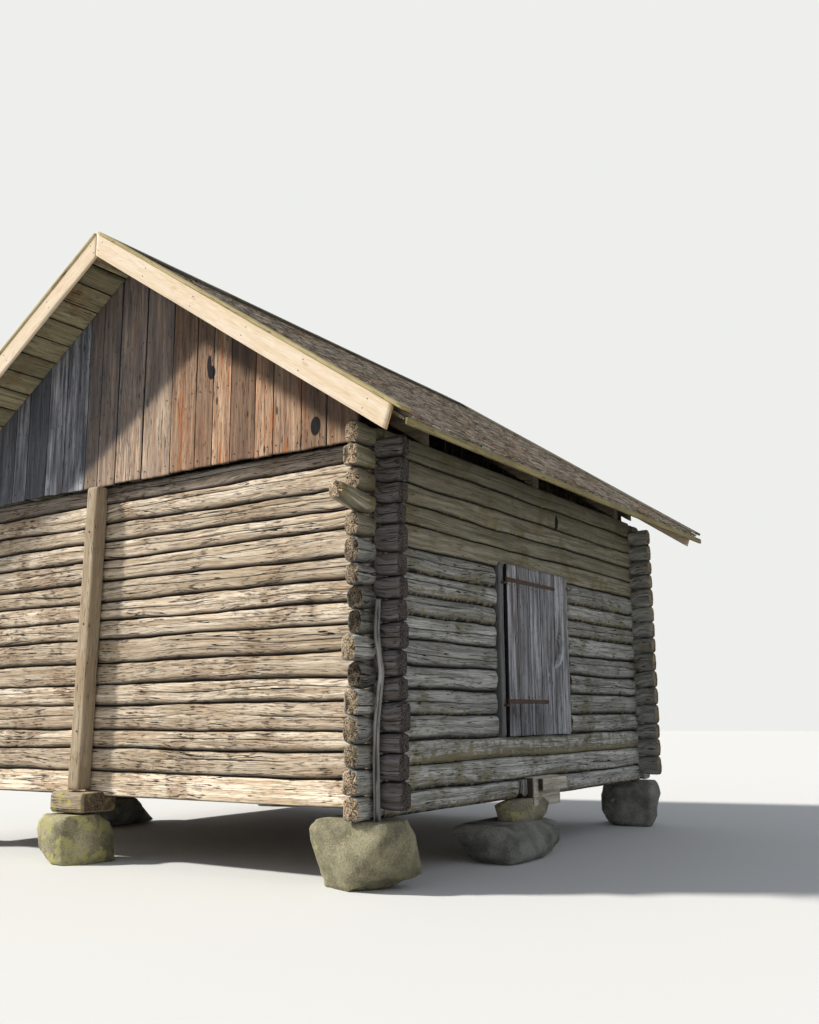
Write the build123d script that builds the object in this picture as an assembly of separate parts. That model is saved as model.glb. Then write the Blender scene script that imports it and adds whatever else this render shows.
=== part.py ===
from build123d import *
import math
import os

# A Nordic log storehouse: hewn pine logs crossed and notched at the corners, on field
# stones, under a steep shake roof. Millimetres. X runs along the gables, with the door
# in the wall at +X. The gable with the prop is at -Y. The ground is at Z = 0.

# Plan, between the outer faces of the log walls
WIDTH = 5170.0
LENGTH = 5030.0

# Logs
LOG_THICKNESS = 130.0      # between the flat hewn cheeks
LOG_CONTACT = 76.0         # width of the groove where a log sits on the one below
LOG_SHOULDER = 44.0        # height of the round between cheek and contact
LOG_CROWN = 11.0           # rise of the round top, and of the groove that fits it
LOG_TAIL = 206.0           # how far a log runs on past the crossing wall
DOOR_WALL_TAILS = (200, 210, 200, 205, 200, 165, 235, 160, 165, 195, 205, 200, 390, 190, 225, 205)
NECK_CUT = 14.0            # hewn off each cheek where logs cross
SILL_UNDERSIDE = 520.0     # lowest gable log above the ground
SILL_DROP = 63.0           # the door-side sill hangs this much lower
GABLE_COURSES = (195, 185, 153, 209, 173, 185, 200, 160, 163, 172, 200, 158, 154, 183, 165)
PLATE_HEIGHT = 180.0       # the uppermost side log, which carries the rafters

# Clearances
SEAT = 0.3                 # between a piece and what it rests on
FIT = 1.0                  # at the sides of notches, slots and pockets
BOARD_GAP = 2.0            # shrinkage gap between neighbouring boards
SWING = 7.0                # round the door leaf

# Doorway and its posts
DOOR_FROM_CORNER = 1908.0  # from the gable's face to the opening, hinge side
COURSE_COUNT_UNDER_DOOR = 3
DOOR_OPENING_HEIGHT = 1490.0
JAMB_FACE = 88.0
JAMB_PROUD = 20.0          # how far a jamb stands out of the wall face
TONGUE_DEPTH = 150.0       # upright tongue that stands in the slotted log ends
TONGUE_THICKNESS = 42.0

# Door leaf, with its boards from the hinge side
DOOR_BOARDS = (194, 228, 209, 291, 253)
LEAF_THICKNESS = 32.0
LEAF_STANDS_OFF = 6.0      # between the wall's face plane and the back of the leaf
HINGE_SIDE_GAP = 15.0
LEDGE_HEIGHT = 120.0
LEDGE_THICKNESS = 30.0
LEDGE_INSET = 45.0
STRAP_HEIGHTS = (298, 1344)    # strap centres above the threshold
STRAP_LENGTHS = (735, 930)
STRAP_WIDTH = 40.0
STRAP_THICKNESS = 5.0
PIN_RADIUS = 7.0
PIN_CLEARANCE = 0.06
PIN_STANDS_OUT = 6.0       # above and below the strap's eye
EYE_WALL = 5.0
PINTLE_COLLAR = 26.0
PINTLE_SPIKE = 90.0
HANDLE_LENGTH = 330.0
HANDLE_PROUD = 62.0
HANDLE_SHOULDER = 45.0     # how far the bow stands out over the inner end of each foot
HANDLE_BAR = 26.0
HANDLE_FOOT = 62.0
HANDLE_WIDTH = 44.0
HANDLE_TILT = 18.0
HANDLE_HEIGHT = 760.0      # middle of the handle above the threshold
HANDLE_FROM_EDGE = 222.0   # middle of the handle in from the leaf's free edge

# Sill beam end and step block under the door
SILL_JOINT = 2130.0        # near half of the door-side sill ends here, from the gable's face
CLEAT_WIDTH = 115.0
CLEAT_HEIGHT = 150.0
CLEAT_DEPTH = 120.0
CLEAT_PROUD = 30.0
CLEAT_ROUND = 46.0         # radius of its two lower edges
BEAM_WIDTH = 540.0
BEAM_HEIGHT = 240.0
BEAM_PROUD = 75.0
STEP_WIDTH = 500.0
STEP_HEIGHT = 110.0
STEP_PROUD = 48.0
STEP_SHIFT = 90.0

# Floor
JOIST_WIDTH = 120.0
JOIST_HEIGHT = 110.0
JOIST_POCKET = 60.0        # how far a joist end sits in the log
JOIST_ABOVE_SILL = 130.0
JOIST_PITCH = 1180.0
FLOOR_THICKNESS = 40.0
FLOOR_BOARD = 195.0
FLOOR_EDGE_GAP = 10.0

# Roof
ROOF_RISE = 0.671          # rise over run
ROOF_ABOVE_PLATE = 281.0   # from the wall plate up to the roof surface, over the wall's face
SHAKE_LAYER = 35.0
SHAKE_EXPOSURE = 120.0
SHAKE_BUTT = 9.0
DECK_THICKNESS = 20.0
DECK_BOARD = 222.0
EAVE_OVERHANG = 600.0      # horizontal, past the side wall's face
GABLE_OVERHANG = 502.0     # of the deck, past the gable's face
RAFTER_DEPTH = 150.0
RAFTER_WIDTH = 100.0
RAFTER_TAIL = 215.0        # horizontal, past the side wall's face
FIRST_RAFTER = 350.0       # from the gable's face
RAFTER_PITCH = 1840.0
RIDGE_LOG_RADIUS = 80.0
RIDGE_POST_WIDTH = 130.0
RIDGE_POST_DEPTH = 100.0
GABLE_FRAME_INSET = 12.0
RIDGE_BOARD = 190.0
RIDGE_BOARD_THICKNESS = 24.0
BARGE_WIDTH = 170.0
BARGE_THICKNESS = 28.0
BARGE_REACH = 513.0        # horizontal, past the side wall's face
BARGE_END_ANGLE = 20.0     # of the end cut, from upright
CAP_WIDTH = 120.0
CAP_THICKNESS = 26.0
CAP_LIP = 10.0
CAP_REACH = 100.0          # how far the cap runs on past the bargeboard
BATTEN_HEIGHT = 52.0
BATTEN_THICKNESS = 24.0

# Boarded gable
GABLE_BOARDS = (300, 251, 288, 192, 267, 200, 197, 290, 340, 344, 229, 175)
GABLE_BOARD_THICKNESS = 28.0
BOARDS_ABOVE_LOGS = 5.0    # from the uppermost gable log up to the boards
BOARD_BOTTOM_STAGGER = 8.0
STAGGER_TURN = 2.4         # radians of the stagger's wave from board to board

# Prop on the gable
PROP_WIDTH = 146.0
PROP_DEPTH = 130.0
PROP_CENTRE = -390.0       # at the foot, along the gable from its middle
PROP_LEAN = 45.0           # how far the top leans towards the door side
PROP_UNDER_BOARDS = 30.0   # from the prop's top up to the gable boards
PROP_TAPER = 18.0          # off each side at the top
PROP_STAND_OFF = 20.0
BLOCK_WIDTH = 410.0
BLOCK_DEPTH = 300.0
BLOCK_HEIGHT = 190.0
BLOCK_TOP = 570.0

# Stones, each with its width, depth and the middle of its foot from the wall corner
CORNER_STONE = (710.0, 590.0)
CORNER_STONE_SHIFT = (-150.0, 85.0)
BACK_STONE = (640.0, 520.0)
MID_STONE = (760.0, 1150.0)
MID_STONE_FROM_CORNER = 2050.0
MID_STONE_TOP = 275.0
BEARER_STONE = (330.0, 640.0)
BEARER_FROM_CORNER = 2300.0
PROP_STONE = (560.0, 520.0)
STONE_FACETS = 9
STONE_TURN = 0.22          # how far a facet's corner wanders, as a share of one facet
STONE_BULGE = 0.09         # how far it stands in or out, as a share of the radius
STONE_LEVELS = ((0.0, 0.86), (0.3, 1.0), (0.72, 0.98), (1.0, 0.86))    # share of height, share of width

# Pole that leans in the corner's nook: height above its foot, offsets out of the corner
POLE_RADIUS = 27.0
POLE_PATH = ((0, 46, -44), (440, 40, -46), (640, 44, -48), (860, 62, -34), (1010, 76, -32),
             (1270, 44, -44), (1512, 56, -42))

# Levels and lines that follow from the sizes above
SLOPE = math.atan(ROOF_RISE)
CROSS_X = WIDTH / 2 - LOG_THICKNESS / 2
CROSS_Y = LENGTH / 2 - LOG_THICKNESS / 2
GABLE_LEVELS = [SILL_UNDERSIDE + sum(GABLE_COURSES[:i]) for i in range(len(GABLE_COURSES) + 1)]
SIDE_LEVELS = [SILL_UNDERSIDE - SILL_DROP]
SIDE_LEVELS += [(low + high) / 2 for low, high in zip(GABLE_LEVELS, GABLE_LEVELS[1:])]
SIDE_LEVELS += [SIDE_LEVELS[-1] + PLATE_HEIGHT]
PLATE_TOP = SIDE_LEVELS[-1]
RIDGE_TOP = PLATE_TOP + ROOF_ABOVE_PLATE + ROOF_RISE * WIDTH / 2
GABLE_BOARD_BOTTOM = GABLE_LEVELS[-1] + BOARDS_ABOVE_LOGS
THRESHOLD_TOP = SIDE_LEVELS[COURSE_COUNT_UNDER_DOOR]
DOOR_HEAD = THRESHOLD_TOP + DOOR_OPENING_HEIGHT
LEAF_WIDTH = sum(DOOR_BOARDS) + BOARD_GAP * (len(DOOR_BOARDS) - 1)
OPENING_START = -LENGTH / 2 + DOOR_FROM_CORNER
OPENING_END = OPENING_START + HINGE_SIDE_GAP + LEAF_WIDTH + SWING
LEAF_START = OPENING_START + HINGE_SIDE_GAP
LEAF_FRONT = WIDTH / 2 + LEAF_STANDS_OFF + LEAF_THICKNESS
DECK_TOP_AT_RIDGE = RIDGE_TOP - SHAKE_LAYER / math.cos(SLOPE)
DECK_UNDER_AT_RIDGE = DECK_TOP_AT_RIDGE - DECK_THICKNESS / math.cos(SLOPE)
EAVE_X = WIDTH / 2 + EAVE_OVERHANG
ROOF_HALF_LENGTH = LENGTH / 2 + GABLE_OVERHANG
RIDGE_LOG_Z = DECK_UNDER_AT_RIDGE - (RIDGE_LOG_RADIUS + SEAT) / math.cos(SLOPE)
NECK = LOG_THICKNESS - 2 * NECK_CUT
FAR = 5000.0               # beyond any piece, for cuts that run right through


def box(x0, x1, y0, y1, z0, z1):
    """A box between two corners."""
    corner = Pos((x0 + x1) / 2, (y0 + y1) / 2, (z0 + z1) / 2)
    return corner * Box(x1 - x0, y1 - y0, z1 - z0)


def upright_prism(points, y0, y1):
    """A prism whose outline lies in X and Z, between two planes across Y."""
    outline = make_face(Polyline(*[(x, 0, z) for x, z in points], close=True))
    return Pos(0, y0, 0) * extrude(outline, y1 - y0, dir=(0, 1, 0))


def save(name, *solids):
    """Write one node."""
    export_step(Compound(children=list(solids)), "parts/" + name + ".step")


def log_section(z_low, z_high, flat_bottom, flat_top):
    """Section of a hewn log: flat cheeks, round shoulders, a crown and a groove to fit it."""
    half, seat = LOG_THICKNESS / 2, LOG_CONTACT / 2
    top = z_high - SEAT
    low_bend, high_bend = z_low + LOG_SHOULDER, top - LOG_SHOULDER
    crown = Line((seat, top), (-seat, top))
    groove = Line((-seat, z_low), (seat, z_low))
    if not flat_top:
        crown = ThreePointArc((seat, top), (0, top + LOG_CROWN), (-seat, top))
    if not flat_bottom:
        groove = ThreePointArc((-seat, z_low), (0, z_low + LOG_CROWN), (seat, z_low))
    edges = [crown, groove]
    for side in (1, -1):
        edges += [TangentArc((side * half, low_bend), (side * seat, z_low), tangent=(0, -1)),
                  Line((side * half, low_bend), (side * half, high_bend)),
                  TangentArc((side * half, high_bend), (side * seat, top), tangent=(0, 1))]
    return make_face(edges)


def hewn_log(start, end, z_low, z_high, flat_bottom=False, flat_top=False):
    """A log along X from start to end, with its cheeks at Y = +-half its thickness."""
    section = Plane.YZ * log_section(z_low, z_high, flat_bottom, flat_top)
    return Pos(start, 0, 0) * extrude(section, end - start)


def crossing(log, centre, z_low, z_high, low_seat, high_seat):
    """Cut the notches and the neck where another log crosses this one."""
    half_notch = NECK / 2 + FIT
    half_neck = LOG_THICKNESS / 2 + FIT
    half = LOG_THICKNESS / 2
    above, below = z_high + LOG_CROWN + FIT, z_low - FIT
    cuts = []
    if high_seat is not None:
        cuts.append(box(centre - half_notch, centre + half_notch, -half, half, high_seat - SEAT, above))
    if low_seat is not None:
        cuts.append(box(centre - half_notch, centre + half_notch, -half, half, below, low_seat))
    for side in (-1, 1):
        inner, outer = sorted((side * NECK / 2, side * (half + FIT)))
        cuts.append(box(centre - half_neck, centre + half_neck, inner, outer, below, above))
    return log - cuts


def gable_log(course):
    """One log of a gable wall, along X, notched over and under the side logs."""
    z_low, z_high = GABLE_LEVELS[course], GABLE_LEVELS[course + 1]
    reach = WIDTH / 2 + LOG_TAIL
    log = hewn_log(-reach, reach, z_low, z_high, flat_bottom=course == 0)
    low_seat = (z_low + SIDE_LEVELS[course + 1]) / 2
    high_seat = (SIDE_LEVELS[course + 1] + z_high) / 2
    for centre in (-CROSS_X, CROSS_X):
        log = crossing(log, centre, z_low, z_high, low_seat, high_seat)
    return log


def side_log(course, start=None, end=None):
    """One log of a side wall, built along X, whole or as a piece that ends at a joint."""
    z_low, z_high = SIDE_LEVELS[course], SIDE_LEVELS[course + 1]
    reach = LENGTH / 2 + LOG_TAIL
    first = -reach if start is None else start
    last = reach if end is None else end
    is_plate = course == len(SIDE_LEVELS) - 2
    log = hewn_log(first, last, z_low, z_high, flat_bottom=course == 0, flat_top=is_plate)
    low_seat = None if course == 0 else (z_low + GABLE_LEVELS[course]) / 2
    high_seat = None if is_plate else (GABLE_LEVELS[course] + z_high) / 2
    for centre in (-CROSS_Y, CROSS_Y):
        if first < centre < last:
            log = crossing(log, centre, z_low, z_high, low_seat, high_seat)
    return log


def turned(solid, side):
    """Lay a log built along X into the side wall at +X or -X."""
    return Pos(side * CROSS_X, 0, 0) * Rot(0, 0, 90) * solid


def joist_positions():
    """Places of the floor joists along Y, symmetric about the middle."""
    count = int((LENGTH - 2 * LOG_THICKNESS - JOIST_WIDTH) / JOIST_PITCH)
    return [(i - (count - 1) / 2) * JOIST_PITCH for i in range(count)]


def joist_pockets(side):
    """The pockets in a side wall that hold the joist ends."""
    bottom = SILL_UNDERSIDE + JOIST_ABOVE_SILL
    inner = WIDTH / 2 - LOG_THICKNESS
    x0, x1 = sorted((side * (inner - FIT), side * (inner + JOIST_POCKET + FIT)))
    half = JOIST_WIDTH / 2 + FIT
    return [box(x0, x1, y - half, y + half, bottom - SEAT, bottom + JOIST_HEIGHT + FIT)
            for y in joist_positions()]


def door_log(course):
    """The pieces of one course of the door wall, as a list with the group of each."""
    z_low, z_high = SIDE_LEVELS[course], SIDE_LEVELS[course + 1]
    jamb_start, jamb_end = OPENING_START - JAMB_FACE, OPENING_END + JAMB_FACE
    tip = -LENGTH / 2 - DOOR_WALL_TAILS[course]
    if course == 0:
        near_end = SILL_JOINT - LENGTH / 2
        far_start = near_end + CLEAT_WIDTH + BEAM_WIDTH + 3 * FIT
        return [("lower", side_log(0, tip, near_end)), ("lower", side_log(0, start=far_start))]
    if course < COURSE_COUNT_UNDER_DOOR - 1:
        return [("lower", side_log(course, tip))]
    if course == COURSE_COUNT_UNDER_DOOR - 1:
        planed = box(jamb_start, jamb_end, -LOG_THICKNESS, LOG_THICKNESS, z_high - SEAT, z_high + FAR)
        return [("lower", side_log(course, tip) - planed)]
    if z_high > DOOR_HEAD:
        log = side_log(course, tip)
        if z_low < DOOR_HEAD:
            log -= box(jamb_start - FIT, jamb_end + FIT, -LOG_THICKNESS, LOG_THICKNESS,
                       z_low - FIT, DOOR_HEAD)
        return [("upper", log)]
    slot = TONGUE_THICKNESS / 2 + FIT
    near = side_log(course, tip, jamb_start - FIT)
    near -= box(jamb_start - TONGUE_DEPTH - FIT, jamb_start, -slot, slot, z_low - FIT, z_high + FAR)
    far = side_log(course, start=jamb_end + FIT)
    far -= box(jamb_end, jamb_end + TONGUE_DEPTH + FIT, -slot, slot, z_low - FIT, z_high + FAR)
    return [("near", near), ("far", far)]


def log_walls():
    """The four cross-notched walls."""
    for name, side in (("front_gable_logs", -1), ("back_gable_logs", 1)):
        logs = [Pos(0, side * CROSS_Y, 0) * gable_log(i) for i in range(len(GABLE_COURSES))]
        save(name, *logs)
    count = len(SIDE_LEVELS) - 1
    pocketed = [i for i in range(count) if touches_joists(i)]
    groups = {"lower": [], "near": [], "far": [], "upper": []}
    for course in range(count):
        for group, piece in door_log(course):
            piece = turned(piece, 1)
            groups[group].append(piece - joist_pockets(1) if course in pocketed else piece)
    for group, name in (("lower", "door_wall_lower_logs"), ("near", "door_wall_near_logs"),
                        ("far", "door_wall_far_logs"), ("upper", "door_wall_upper_logs")):
        save(name, *groups[group])
    far_wall = [turned(side_log(i), -1) for i in range(count)]
    save("far_side_wall_logs", *[log - joist_pockets(-1) if i in pocketed else log
                                 for i, log in enumerate(far_wall)])


def touches_joists(course):
    """Whether a side course stands at the height of the joists."""
    bottom = SILL_UNDERSIDE + JOIST_ABOVE_SILL
    return SIDE_LEVELS[course] < bottom + JOIST_HEIGHT + FIT and SIDE_LEVELS[course + 1] > bottom


def floor():
    """Joists let into the side walls, and the boards on them."""
    bottom = SILL_UNDERSIDE + JOIST_ABOVE_SILL
    reach = WIDTH / 2 - LOG_THICKNESS + JOIST_POCKET
    save("floor_joists", *[box(-reach, reach, y - JOIST_WIDTH / 2, y + JOIST_WIDTH / 2,
                               bottom, bottom + JOIST_HEIGHT) for y in joist_positions()])
    top = bottom + JOIST_HEIGHT + SEAT
    half_x = WIDTH / 2 - LOG_THICKNESS - FLOOR_EDGE_GAP
    half_y = LENGTH / 2 - LOG_THICKNESS - FLOOR_EDGE_GAP
    count = round(2 * half_x / FLOOR_BOARD)
    pitch = 2 * half_x / count
    save("floor_boards", *[box(-half_x + i * pitch, -half_x + (i + 1) * pitch - BOARD_GAP,
                               -half_y, half_y, top, top + FLOOR_THICKNESS) for i in range(count)])


def jamb(edge, away):
    """A door post: a face board's width in the wall, and a tongue in the slotted log ends."""
    outer = WIDTH / 2 + JAMB_PROUD
    z0, z1 = THRESHOLD_TOP, DOOR_HEAD - SEAT
    y0, y1 = sorted((edge, edge + away * JAMB_FACE))
    t0, t1 = sorted((edge + away * JAMB_FACE, edge + away * (JAMB_FACE + TONGUE_DEPTH)))
    half = TONGUE_THICKNESS / 2
    lintel_low = max(z for z in SIDE_LEVELS if z < DOOR_HEAD)
    tongue = box(CROSS_X - half, CROSS_X + half, t0, t1, z0 + LOG_CROWN + SEAT, lintel_low - SEAT)
    return box(WIDTH / 2 - LOG_THICKNESS, outer, y0, y1, z0, z1) + tongue


def hinge_axis():
    """Where the two hinge pins stand, as X and Y."""
    x = LEAF_FRONT + SEAT + STRAP_THICKNESS / 2
    return x, OPENING_START


def strap_hinge(height, length):
    """A forged strap on the leaf with its rolled eye, at a height above the threshold."""
    x, y = hinge_axis()
    z = THRESHOLD_TOP + height
    inner = PIN_RADIUS + PIN_CLEARANCE
    back = LEAF_FRONT + SEAT
    half = STRAP_WIDTH / 2
    eye = Pos(x, y, z) * Cylinder(inner + EYE_WALL, STRAP_WIDTH)
    bar = box(back, back + STRAP_THICKNESS, y, LEAF_START + length, z - half, z + half)
    tip = Pos(back + STRAP_THICKNESS / 2, LEAF_START + length, z) * Rot(0, 90, 0)
    tip *= Cylinder(half, STRAP_THICKNESS)
    return eye + bar + tip - Pos(x, y, z) * Cylinder(inner, 2 * STRAP_WIDTH)


def pintle(height):
    """The hinge pin in the jamb: an upright pin, a collar under the eye and a driven spike."""
    x, y = hinge_axis()
    z = THRESHOLD_TOP + height
    collar_top = z - STRAP_WIDTH / 2 - SEAT
    pin = Pos(x, y, z) * Cylinder(PIN_RADIUS, STRAP_WIDTH + 2 * PIN_STANDS_OUT)
    collar = Pos(x, y, collar_top - PINTLE_COLLAR / 2) * Cylinder(PIN_RADIUS + EYE_WALL, PINTLE_COLLAR)
    spike_x0 = WIDTH / 2 + JAMB_PROUD - PINTLE_SPIKE
    z_mid = collar_top - PINTLE_COLLAR / 2
    half = PIN_RADIUS
    arm_y = y - JAMB_FACE / 2
    spike = box(spike_x0, x, arm_y - half, arm_y + half, z_mid - half, z_mid + half)
    arm = box(x - half, x + half, arm_y - half, y, z_mid - half, z_mid + half)
    return pin + collar + arm + spike, spike


def door():
    """The boarded leaf with its ledges, straps and handle, and the posts that carry it."""
    z0, z1 = THRESHOLD_TOP + SWING, DOOR_HEAD - SWING
    back = WIDTH / 2 + LEAF_STANDS_OFF
    starts = [LEAF_START + sum(DOOR_BOARDS[:i]) + i * BOARD_GAP for i in range(len(DOOR_BOARDS))]
    save("door_boards", *[box(back, LEAF_FRONT, y, y + width, z0, z1)
                          for y, width in zip(starts, DOOR_BOARDS)])
    ledges = [box(back - SEAT - LEDGE_THICKNESS, back - SEAT,
                  LEAF_START + LEDGE_INSET, LEAF_START + LEAF_WIDTH - LEDGE_INSET,
                  THRESHOLD_TOP + height - LEDGE_HEIGHT / 2, THRESHOLD_TOP + height + LEDGE_HEIGHT / 2)
              for height in STRAP_HEIGHTS]
    save("door_ledges", *ledges)
    save("door_strap_hinges", *[strap_hinge(h, l) for h, l in zip(STRAP_HEIGHTS, STRAP_LENGTHS)])
    pintles, holes = zip(*[pintle(height) for height in STRAP_HEIGHTS])
    save("hinge_pintles", *pintles)
    hinge_jamb = jamb(OPENING_START, -1) - list(holes)
    save("door_jambs", hinge_jamb, jamb(OPENING_END, 1))
    save("door_handle", door_handle())


def door_handle():
    """A bowed wooden pull with two feet on the boards and a gap for the fingers."""
    half = HANDLE_LENGTH / 2
    grip = half - HANDLE_FOOT
    inner = HANDLE_PROUD - HANDLE_BAR
    outline = [
        Line((0, -half), (0, -grip)),
        ThreePointArc((0, -grip), (inner, 0), (0, grip)),
        Line((0, grip), (0, half)),
        Line((0, half), (HANDLE_SHOULDER, grip + HANDLE_BAR / 2)),
        ThreePointArc((HANDLE_SHOULDER, grip + HANDLE_BAR / 2), (HANDLE_PROUD, 0),
                      (HANDLE_SHOULDER, -grip - HANDLE_BAR / 2)),
        Line((HANDLE_SHOULDER, -grip - HANDLE_BAR / 2), (0, -half)),
    ]
    bow = extrude(Plane.XZ * make_face(outline), HANDLE_WIDTH / 2, both=True)
    middle = (LEAF_FRONT + SEAT, LEAF_START + LEAF_WIDTH - HANDLE_FROM_EDGE, THRESHOLD_TOP + HANDLE_HEIGHT)
    return Pos(*middle) * Rot(-HANDLE_TILT, 0, 0) * bow


def under_door():
    """The cleat, the beam end and the step block that fill the joint in the door-side sill."""
    y = SILL_JOINT - LENGTH / 2 + FIT
    top = SIDE_LEVELS[1] - SEAT
    face = WIDTH / 2
    cleat = box(face + CLEAT_PROUD - CLEAT_DEPTH, face + CLEAT_PROUD, y, y + CLEAT_WIDTH,
                top - CLEAT_HEIGHT, top)
    bottom_edges = cleat.edges().filter_by(Axis.X).group_by(Axis.Z)[0]
    save("sill_cleat", fillet(bottom_edges, CLEAT_ROUND))
    y += CLEAT_WIDTH + FIT
    save("sill_beam_end", box(face - LOG_THICKNESS, face + BEAM_PROUD, y, y + BEAM_WIDTH,
                              top - BEAM_HEIGHT, top))
    front = face + BEAM_PROUD + SEAT
    save("step_block", box(front, front + STEP_PROUD, y + STEP_SHIFT, y + STEP_SHIFT + STEP_WIDTH,
                           top - STEP_HEIGHT, top))


def roof_z(x, depth=0.0):
    """Height of the plane that lies this deep under the roof surface, at a distance from the ridge."""
    return RIDGE_TOP - depth / math.cos(SLOPE) - ROOF_RISE * abs(x)


def slope_slab(side, run0, run1, depth0, depth1, y0, y1):
    """A slab along the ridge, between two horizontal runs and two depths under the roof surface."""
    points = [(side * run0, roof_z(run0, depth0)), (side * run1, roof_z(run1, depth0)),
              (side * run1, roof_z(run1, depth1)), (side * run0, roof_z(run0, depth1))]
    return upright_prism(points, y0, y1)


def squared_slab(side, along0, along1, depth0, depth1, y0, y1):
    """A board along the ridge with square edges, placed by its distance down the slope."""
    down = (side * math.cos(SLOPE), -math.sin(SLOPE))
    into = (-side * math.sin(SLOPE), -math.cos(SLOPE))
    points = [(a * down[0] + d * into[0], RIDGE_TOP + a * down[1] + d * into[1])
              for a, d in ((along0, depth0), (along1, depth0), (along1, depth1), (along0, depth1))]
    return upright_prism(points, y0, y1)


def deck_boards(side):
    """The roof boards of one slope, which run along the ridge over the rafters."""
    depth = SHAKE_LAYER + SEAT
    ridge_end = depth * math.tan(SLOPE) + DECK_THICKNESS * math.tan(SLOPE) + FIT
    eave_end = EAVE_X / math.cos(SLOPE) + depth * math.tan(SLOPE)
    count = round((eave_end - ridge_end) / DECK_BOARD)
    pitch = (eave_end - ridge_end + BOARD_GAP) / count
    return [squared_slab(side, ridge_end + i * pitch, ridge_end + (i + 1) * pitch - BOARD_GAP,
                         depth, depth + DECK_THICKNESS, -ROOF_HALF_LENGTH, ROOF_HALF_LENGTH)
            for i in range(count)]


def shake_layer(side):
    """The shakes of one slope as one body whose top steps down at each row of butts."""
    cap_start = ROOF_HALF_LENGTH + BARGE_THICKNESS + CAP_LIP - CAP_WIDTH
    length = EAVE_X / math.cos(SLOPE)
    rows = round(length / SHAKE_EXPOSURE)
    pitch = length / rows
    down = (side * math.cos(SLOPE), -math.sin(SLOPE))
    into = (-side * math.sin(SLOPE), -math.cos(SLOPE))
    ridge_start = SHAKE_LAYER * math.tan(SLOPE) + FIT
    outline = [(ridge_start, SHAKE_LAYER), (ridge_start, SHAKE_BUTT)]
    for row in range(rows):
        row_end = (row + 1) * pitch
        if row_end > ridge_start + pitch / 2:
            outline += [(row_end, 0.0), (row_end, SHAKE_BUTT)]
    outline[-1] = (length, SHAKE_LAYER)
    points = [(a * down[0] + d * into[0], RIDGE_TOP + a * down[1] + d * into[1]) for a, d in outline]
    return upright_prism(points, -cap_start + FIT, cap_start - FIT)


def rafter(side, y, reach):
    """A rafter from the ridge log to past the wall plate, with its seat cut on the plate."""
    top = SHAKE_LAYER + DECK_THICKNESS + 2 * SEAT
    piece = slope_slab(side, FIT, reach, top, top + RAFTER_DEPTH, y - RAFTER_WIDTH / 2, y + RAFTER_WIDTH / 2)
    piece -= Pos(0, y, RIDGE_LOG_Z) * Rot(90, 0, 0) * Cylinder(RIDGE_LOG_RADIUS + SEAT, 2 * RAFTER_WIDTH)
    x0, x1 = sorted((side * (WIDTH / 2 - LOG_THICKNESS - FIT), side * (WIDTH / 2 + SEAT)))
    piece -= box(x0, x1, y - RAFTER_WIDTH, y + RAFTER_WIDTH, PLATE_TOP - FAR, PLATE_TOP)
    return largest(piece)


def largest(shape):
    """The main solid of a cut shape."""
    return sorted(shape.solids(), key=lambda solid: solid.volume)[-1]


def roof():
    """Ridge log, rafters, roof boards, shakes, eave battens and ridge boards."""
    ridge = Pos(0, 0, RIDGE_LOG_Z) * Rot(90, 0, 0)
    ridge_log = ridge * Cylinder(RIDGE_LOG_RADIUS, 2 * (ROOF_HALF_LENGTH - FIT))
    save("ridge_log", ridge_log)
    count = int((LENGTH - 2 * FIRST_RAFTER) / RAFTER_PITCH) + 1
    places = [-LENGTH / 2 + FIRST_RAFTER + i * RAFTER_PITCH for i in range(count)]
    frame_y = LENGTH / 2 - GABLE_FRAME_INSET - RAFTER_WIDTH / 2
    for name, side in (("door_side", 1), ("far_side", -1)):
        save("rafters_" + name, *[rafter(side, y, WIDTH / 2 + RAFTER_TAIL) for y in places])
        save("gable_rafters_" + name, *[rafter(side, y, WIDTH / 2 - FIT) for y in (-frame_y, frame_y)])
        save("roof_boards_" + name, *deck_boards(side))
        save("roof_shakes_" + name, shake_layer(side))
        batten = box(EAVE_X + SEAT, EAVE_X + SEAT + BATTEN_THICKNESS, -ROOF_HALF_LENGTH, ROOF_HALF_LENGTH,
                     roof_z(EAVE_X, SHAKE_LAYER) - BATTEN_HEIGHT, roof_z(EAVE_X, SHAKE_LAYER))
        save("eave_batten_" + name, batten if side > 0 else mirror(batten, Plane.YZ))
    cap_start = ROOF_HALF_LENGTH + BARGE_THICKNESS + CAP_LIP - CAP_WIDTH
    lap = RIDGE_BOARD_THICKNESS * math.tan(SLOPE)
    save("ridge_boards", *[squared_slab(side, lap + FIT, RIDGE_BOARD, -RIDGE_BOARD_THICKNESS - SEAT, -SEAT,
                                        -cap_start + FIT, cap_start - FIT) for side in (1, -1)])
    posts = []
    for side in (-1, 1):
        y = side * frame_y
        post = box(-RIDGE_POST_WIDTH / 2, RIDGE_POST_WIDTH / 2, y - RIDGE_POST_DEPTH / 2,
                   y + RIDGE_POST_DEPTH / 2, GABLE_LEVELS[-1] + LOG_CROWN, RIDGE_LOG_Z)
        post -= Pos(0, y, RIDGE_LOG_Z) * Rot(90, 0, 0) * Cylinder(RIDGE_LOG_RADIUS + SEAT, FAR)
        post -= [slope_slab(s, 0, WIDTH / 2, 0, SHAKE_LAYER + DECK_THICKNESS + RAFTER_DEPTH + 3 * SEAT,
                            y - RAFTER_WIDTH, y + RAFTER_WIDTH) for s in (-1, 1)]
        posts.append(largest(post))
    save("ridge_posts", *posts)


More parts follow.
